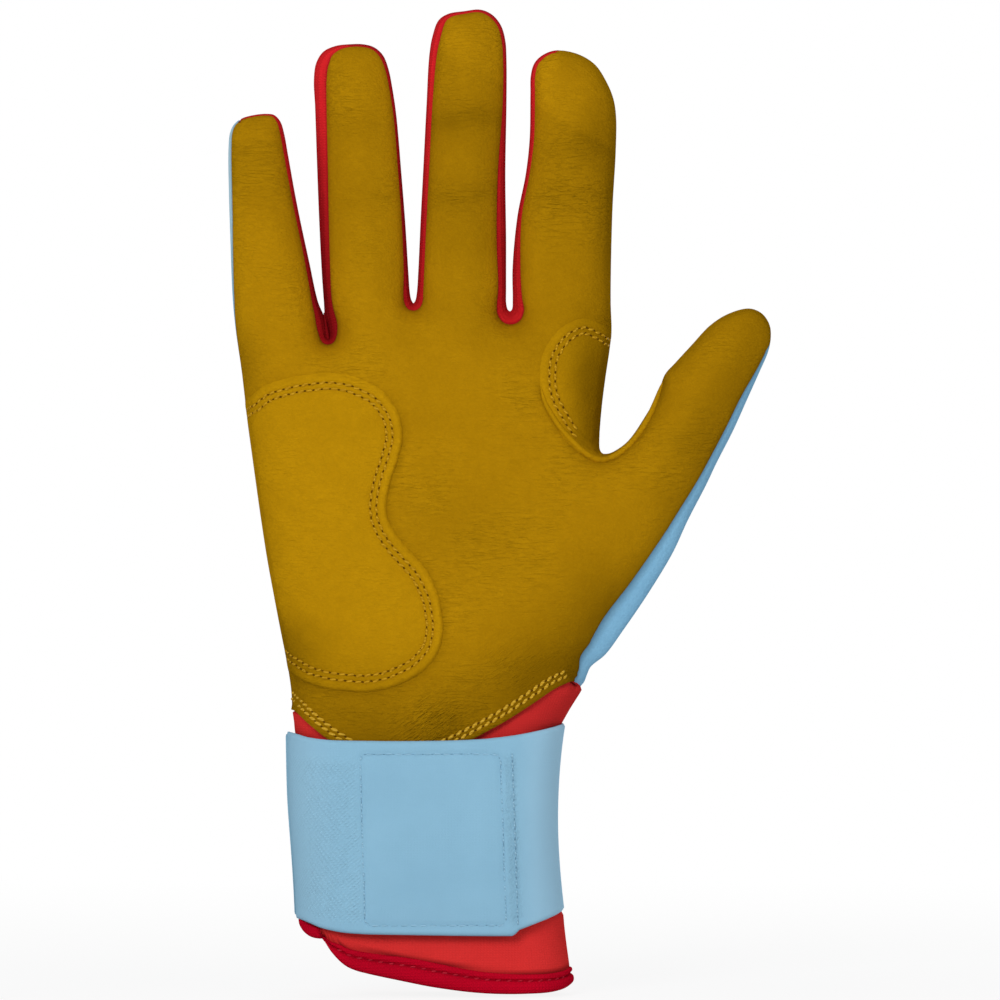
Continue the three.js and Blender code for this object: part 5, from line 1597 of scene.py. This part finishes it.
def cuff_band(name, node):
    """The cuff from one side of its slit round to the other, tucked in under the panels at its top."""
    rows = np.linspace(0, 1, CUFF_ROWS)
    sections, places, seams, shades = [], [], [], []
    for turn in even_turns(under_end, flap_end, CUFF_STEP):
        x = band_x(turn)
        low = tape_low(x) + CUFF_OVERLAP
        z = low + (CUFF_TOP - low) * rows
        both = np.concatenate([z, z[::-1]])
        at = slit_turn(turn, z)
        grow = cuff_grow(z, at)
        outer = tucked(wrist_point(z, at, grow), UNDER_PANEL)
        inner = tucked(wrist_point(z, at, grow - CUFF_WALL), UNDER_PANEL + CUFF_WALL)[::-1]
        sections.append(np.vstack([outer, inner]))
        places.append(unrolled(turn, both))
        tape_top = tape_low(x) + tape_height(x)
        # Painted shade on the cuff just above the binding, and on its upper part except at the left.
        seams.append(np.concatenate([bell(z - tape_top, TAPE_SEAM_WIDTH), np.zeros(CUFF_ROWS)]))
        shades.append(CUFF_SHADE * smoothstep(*CUFF_DARK_X, x) * smoothstep(*CUFF_DARK_Z, both))
    attach(loft(name, sections, CUFF_RED, {"seam": seams, "shade": shades}, places), "hand", node)


# Section of the binding: share of its height and how far it stands outside the cuff, with a sewn groove.
TAPE_LOOP = [
    (1.0, 0.05), (0.985, 0.4), (0.93, 0.62), (0.85, 0.68), (0.77, 0.56), (0.71, 0.26), (0.66, 0.08),
    (0.61, 0.3), (0.54, 0.68), (0.42, 0.95), (0.28, 0.98), (0.14, 0.76), (0.04, 0.3), (-0.01, -0.4),
    (-0.01, -1.2), (0.03, -2.05), (0.14, -2.5), (0.36, -2.7), (0.66, -2.7), (0.88, -2.55), (0.98, -2.3),
    (1.0, -1.95), (0.92, -0.9), (0.96, -0.2),
]
TAPE_LOOP_STEP = 0.12
TAPE_GROOVE, TAPE_GROOVE_WIDTH, TAPE_GROOVE_SHADE = 0.66, 0.045, 0.7
TAPE_OUTER = -0.5
GROOVE_LIFT = 0.12
FLAP_MARGIN, UNDER_MARGIN = 0.02, 0.05
TAPE_END = 0.035
TAPE_STITCH = (0.7, 0.24, 0.2)
TAPE_PITCH = 2.7
TAPE_TILT = 0.25


def cuff_tape(name, node):
    """Binding folded over the lower edge of the cuff and sewn along a groove."""
    turns = even_turns(under_end, flap_end, TAPE_STEP)
    loop = spline([*TAPE_LOOP, TAPE_LOOP[0]], TAPE_LOOP_STEP)[0][:-1]
    groove = bell(loop[:, 0] - TAPE_GROOVE, TAPE_GROOVE_WIDTH) * (loop[:, 1] > TAPE_OUTER)
    sections, places = [], []
    for turn in turns:
        heights = tape_low(band_x(turn)) + tape_height(band_x(turn)) * loop[:, 0]
        sections.append(wrist_point(heights, turn, cuff_grow(heights, turn) + loop[:, 1]))
        places.append(unrolled(turn, heights))
    # Painted shade in the sewn groove of the binding.
    looks = {"seam": TAPE_GROOVE_SHADE * groove, "shade": 0.0}
    attach(loft(name, sections, TAPE, looks, places), "hand", node)
    on_front = (turns > TAPE_END) & (turns < flap_end - FLAP_MARGIN)
    behind = (turns > under_end + UNDER_MARGIN) & (turns < -TAPE_END)
    tape_stitches(name + "_stitches", turns[on_front])
    tape_stitches(name + "_back_stitches", turns[behind])


def tape_stitches(name, turns):
    """Stitches in the groove of the binding at some turns round the wrist."""
    heights = tape_low(band_x(turns)) + tape_height(band_x(turns)) * TAPE_GROOVE
    grow = cuff_grow(heights, turns) + GROOVE_LIFT
    line = wrist_point(heights, turns, grow)
    up = unit(wrist_point(heights, turns, grow + 1.0) - line)
    sew(name, line, up, TAPE_PITCH, TAPE_STITCH, RED_THREAD, "hand", None, TAPE_TILT)


cuff_band("cuff_neoprene", "cuff")
cuff_tape("cuff_tape", "cuff_binding")


# Strap

STRAP_WALL = 1.6
SEATED = -1.3
PANEL_GROW = 1.1
FOLD_GROW = 0.4
STRAP_ROWS = 72
LEFT_TAPER = 1.6
LEFT_BULGE = 0.45
TAPER_Z = (14, 52)
BULGE_Z, BULGE_TALL = 56, 14
GROOVE_WIDTH, GROOVE_DEPTH, SECOND_SHARE = 0.55, 0.45, 0.4
PUFF, PUFF_FROM = 0.32, (0.4, 6)
STEP_DOWN, STEP_SPAN = 0.4, (-1.6, -0.7)
STRAP_TRIM, TRIM_FROM, TRIM_SPAN = 0.5, 0.982, 0.018
SQUARE_SHARE, SQUARE_TURN = 0.7, 0.06
# Spans of the brushed part and the puckers, from the strap's edges and from the sides of its panel.
LOW_MARGIN, TOP_MARGIN = (1.5, 4), (-7, -3)
BRUSHED_X, BRUSHED_END = (-36.5, -28), (-1.2, -0.6)
PUCKER_START, PUCKER_END = (0.4, 1.2), (3.4, 4.6)
# Where painted light brightens the sides of the strap, and how much where that isn't fully so.
PAINTED_LIGHT_RIGHT, PAINTED_LIGHT_FAR_RIGHT, PAINTED_LIGHT_LEFT = (22, 29), (28, 35), (-34, -20)
FAR_RIGHT_LIGHT_SHARE, LEFT_LIGHT_SHARE = 0.6, 0.7
STRAP_STEP = 0.75
strap_top = profile([
    (-36.9, 67.7), (-34.0, 67.6), (-29.5, 66.5), (-22.5, 65.9), (5.4, 65.9), (19.9, 66.9), (35.8, 69.9),
])
strap_low = profile([
    (-36.9, 19.2), (-34.1, 19.3), (-31.0, 18.6), (-26.8, 17.3), (-20.0, 16.2), (-7.3, 15.8), (21.6, 15.5),
    (22.4, 15.9), (23.2, 17.0), (35.8, 21.7),
])
back_low = profile([(-36.9, 19.2), (-34.0, 20.4), (35.8, 21.7)])
back_top = profile([(-36.9, 67.7), (-34.0, 66.9), (20.0, 68.0), (35.8, 69.9)])
PANEL_TOP, PANEL_BOTTOM = 62.4, 18.2
PANEL_CORNERS = [(-17.4, PANEL_TOP), (18.8, PANEL_TOP), (20.3, PANEL_BOTTOM), (-16.1, PANEL_BOTTOM)]
PANEL_ROUND = 2.2
LEFT_LEAN, RIGHT_LEAN = 0.03, 0.034
SECOND_LINE = [(21.8, 63.2), (23.3, 18.0)]
SEAM_PITCH = 0.25
STRAP_STITCH = (0.92, 0.26, 0.2)
STRAP_PITCH = 2.5
STRAP_TILT = 0.05
FIRST_TURN, FLAT_TURNS = 0.02, 120


def rounded(corners, radius, step):
    """A closed line through corners, with each corner rounded."""
    corners = np.array(corners, float)
    line = []
    for k, corner in enumerate(corners):
        before = unit(corners[k - 1] - corner) * radius
        after = unit(corners[(k + 1) % len(corners)] - corner) * radius
        for t in np.linspace(0, 1, 8):
            line.append(corner + before * (1 - t) ** 2 + after * t**2)
    line.append(line[0])
    return resample(np.array(line), step)


panel_line = rounded(PANEL_CORNERS, PANEL_ROUND, SEAM_PITCH)
panel_tree = tree_of(panel_line)
second_line = resample(SECOND_LINE, SEAM_PITCH)
second_tree = tree_of(second_line)


def panel_side(corner, lean, z):
    """Where the left or right side of the strap's panel lies at a height."""
    return PANEL_CORNERS[corner][0] + (PANEL_TOP - z) * lean


def strap_relief(x, z):
    """Grooves along the sewn lines of the panel, and the step down to the brushed part."""
    points = np.stack(np.broadcast_arrays(x, z), axis=-1).astype(float)
    from_panel, from_second = distances(points, panel_tree), distances(points, second_tree)
    groove = np.maximum(bell(from_panel, GROOVE_WIDTH), SECOND_SHARE * bell(from_second, GROOVE_WIDTH))
    puff = PUFF * smoothstep(*PUFF_FROM, from_panel) * inside(points, panel_line)
    left = panel_side(0, LEFT_LEAN, z)
    step = -STEP_DOWN * (1 - rise_from(left, STEP_SPAN, x))
    return step + puff - GROOVE_DEPTH * groove, groove


def strap_looks(x, z, low, top):
    """How brushed and puckered the strap is at places on its front, and how much painted light brightens it.
    """
    left, right = panel_side(0, LEFT_LEAN, z), panel_side(1, RIGHT_LEAN, z)
    tall = rise_from(low, LOW_MARGIN, z) * (1 - rise_from(top, TOP_MARGIN, z))
    brushed = (1 - rise_from(left, BRUSHED_END, x)) * smoothstep(*BRUSHED_X, x) * tall
    pucker = rise_from(right, PUCKER_START, x) * (1 - rise_from(right, PUCKER_END, x)) * tall
    glow = smoothstep(*PAINTED_LIGHT_RIGHT, x) + FAR_RIGHT_LIGHT_SHARE * smoothstep(*PAINTED_LIGHT_FAR_RIGHT, x)
    glow += LEFT_LIGHT_SHARE * (1 - smoothstep(*PAINTED_LIGHT_LEFT, x))
    return brushed, pucker, np.full(len(z), glow)


def strap_band(name, first, last, faces_at, low_at, top_at, on_show, body, nodes):
    """One length of the strap. faces_at gives how far its inner and outer faces stand outside the wrist."""
    rows = np.linspace(0, 1, STRAP_ROWS)
    trim = STRAP_TRIM * np.clip((np.abs(2 * rows - 1) - TRIM_FROM) / TRIM_SPAN, 0, 1) ** 2
    blank = np.zeros(STRAP_ROWS)
    sections, places = [], []
    looks = {"brushed": [], "pucker": [], "seam": [], "glow": []}
    for turn in even_turns(first, last, STRAP_STEP):
        x = float(band_x(turn))
        low, top = low_at(x), top_at(x)
        z = low + (top - low) * rows
        inner_grow, outer_grow = faces_at(turn, z)
        relief, groove, brushed, pucker, glow = [blank] * 5
        if on_show:
            relief, groove = strap_relief(x, z)
            brushed, pucker, glow = strap_looks(x, z, low, top)
        square = 1 - SQUARE_SHARE * smoothstep(SQUARE_TURN, 0.0, abs(turn - 0.5))
        outer = wrist_point(z, turn, outer_grow - trim * square + relief)
        inner = wrist_point(z[::-1], turn, (inner_grow + trim)[::-1])
        sections.append(np.vstack([outer, inner]))
        places.append(unrolled(turn, np.concatenate([z, z[::-1]])))
        # The grooves also give the painted shade of the seam look, and glow is painted light.
        for label, values in zip(looks, (brushed, pucker, groove, glow)):
            looks[label].append(np.concatenate([values, blank]))
    attach(loft(name, sections, STRAP_BLUE, looks, places), body, *nodes)


def left_taper(turn, z):
    """The fold on the left draws in towards the lower edge."""
    near = 1 - smoothstep(0.0, CORNER, abs(turn - 0.5))
    return near * (LEFT_TAPER * (1 - smoothstep(*TAPER_Z, z)) - LEFT_BULGE * bell(z - BULGE_Z, BULGE_TALL))


def front_faces(turn, z):
    """How far the inner and outer faces of the strap's front stand outside the wrist."""
    tab = SEATED + (PANEL_GROW - SEATED) * min(turn / CORNER, 1)
    fold = (FOLD_GROW - PANEL_GROW) * max((turn - 0.5 + CORNER) / CORNER, 0)
    inner = tab + fold - left_taper(turn, z)
    return inner, inner + STRAP_WALL


def back_faces(turn, z):
    """How far the inner and outer faces of the strap behind the wrist stand outside it."""
    share = min((turn - 0.5) / CORNER, 1.0)
    outer = FOLD_GROW + (SEATED - FOLD_GROW) * share + STRAP_WALL - left_taper(turn, z)
    return np.full(len(z), SEATED), outer + 0 * z


strap_band("strap_front", 0.0, 0.5, front_faces, strap_low, strap_top, True, "strap",
           ("strap_tab", "strap_panel", "strap_elastic"))
strap_band("strap_behind", 0.5, 1.0, back_faces, back_low, back_top, False, "hand", ("strap_back",))


def sew_strap(name, line):
    """Stitches on the outer face of the strap's front along a line of (x, z) points on its flat part."""
    line = resample(line, LINE_STEP)
    relief, _ = strap_relief(line[:, 0], line[:, 1])
    turns = np.linspace(FIRST_TURN, 0.5 - CORNER, FLAT_TURNS)
    points = []
    for (x, z), rise in zip(line, relief):
        grows = np.array([front_faces(turn, z)[1] for turn in turns])
        face = wrist_point(z, turns, grows)[::-1]
        points.append((x, np.interp(x, face[:, 0], face[:, 1]) - rise, z))
    up = np.tile([0.0, -1.0, 0.0], (len(line), 1))
    sew(name, np.array(points), up, STRAP_PITCH, STRAP_STITCH, BLUE_THREAD, "strap", BLUE_HOLE_SHADE, STRAP_TILT)


sew_strap("strap_panel_stitches", panel_line)
sew_strap("strap_end_stitches", second_line)

for name in ("hook_pad", "loop_pad"):
    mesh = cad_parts[name].data
    mesh.materials.clear()
    mesh.materials.append(CLOSURE)


# Camera, light and ground

PHOTO_WIDTH, PIXEL = 1000, 0.26
LENS = 320.0
SENSOR = 36.0
DISTANCE = PHOTO_WIDTH * PIXEL / 2 / (SENSOR / 2 / LENS)
AIM = (0.0187, 0.0, 0.1279)
AMBIENT = 0.32
FLOOR, FLOOR_Z = 3.0, -0.0006
FLOOR_GREY = (0.82, 0.82, 0.82, 1)
FLOOR_NEAR, FLOOR_FAR, FLOOR_SHADE = 0.1, 0.7, 0.88
WHITE = (1, 1, 1, 1)

scene = bpy.context.scene
scene.view_settings.view_transform = "Standard"
camera = bpy.data.objects.new("camera", bpy.data.cameras.new("camera"))
camera.data.lens = LENS
camera.data.sensor_width = SENSOR
camera.data.clip_start = 0.01
camera.data.clip_end = 20
camera.location = (AIM[0], -DISTANCE * MM, AIM[2])
camera.rotation_euler = (math.radians(90), 0, 0)
scene.camera = link(camera)


def area_light(name, place, size, energy):
    """A round lamp that shines at the glove."""
    light = bpy.data.lights.new(name, "AREA")
    light.shape = "DISK"
    light.size = size
    light.energy = energy
    obj = link(bpy.data.objects.new(name, light))
    obj.location = place
    obj.rotation_euler = (Vector(AIM) - Vector(place)).to_track_quat("-Z", "Y").to_euler()


area_light("key", (-0.42, -1.3, 0.62), 0.6, 11.5)
area_light("fill", (0.85, -1.15, 0.15), 0.9, 4.5)
area_light("rear", (0.3, 1.4, 0.5), 1.2, 12.0)

scene.world = bpy.data.worlds.new("studio")
studio = Nodes(scene.world)
strength = studio.range(studio.seen(), 0.0, 1.0, AMBIENT)
studio.put(studio.tree.nodes["Background"].inputs, {"Color": WHITE, "Strength": strength})


def floor_material(name):
    """Grey where light falls on it, and white for the camera, a little less so near the glove."""
    n = Nodes(bpy.data.materials.new(name))
    diffuse = n.tree.nodes["Principled BSDF"]
    n.put(diffuse.inputs, {"Base Color": FLOOR_GREY, "Roughness": 0.9, "Specular IOR Level": 0.0})
    glow = n.add("ShaderNodeEmission", {"Color": WHITE, "Strength": 1.0})
    place = n.add("ShaderNodeTexCoord").outputs["Object"]
    away = n.add("ShaderNodeVectorMath", {0: place}, operation="LENGTH").outputs["Value"]
    share = n.times(n.seen(), n.range(away, FLOOR_NEAR, FLOOR_FAR, FLOOR_SHADE, 1.0))
    blend = n.add("ShaderNodeMixShader", {0: share, 1: diffuse.outputs[0], 2: glow.outputs[0]})
    n.put(n.tree.nodes["Material Output"].inputs, {"Surface": blend.outputs[0]})
    return n.owner


floor_mesh = bpy.data.meshes.new("floor")
floor_corners = [(x * FLOOR, y * FLOOR, FLOOR_Z) for x, y in ((-1, -1), (1, -1), (1, 1), (-1, 1))]
floor_mesh.from_pydata(floor_corners, [], [(0, 1, 2, 3)])
floor_mesh.materials.append(floor_material("pale_floor"))
link(bpy.data.objects.new("floor", floor_mesh))
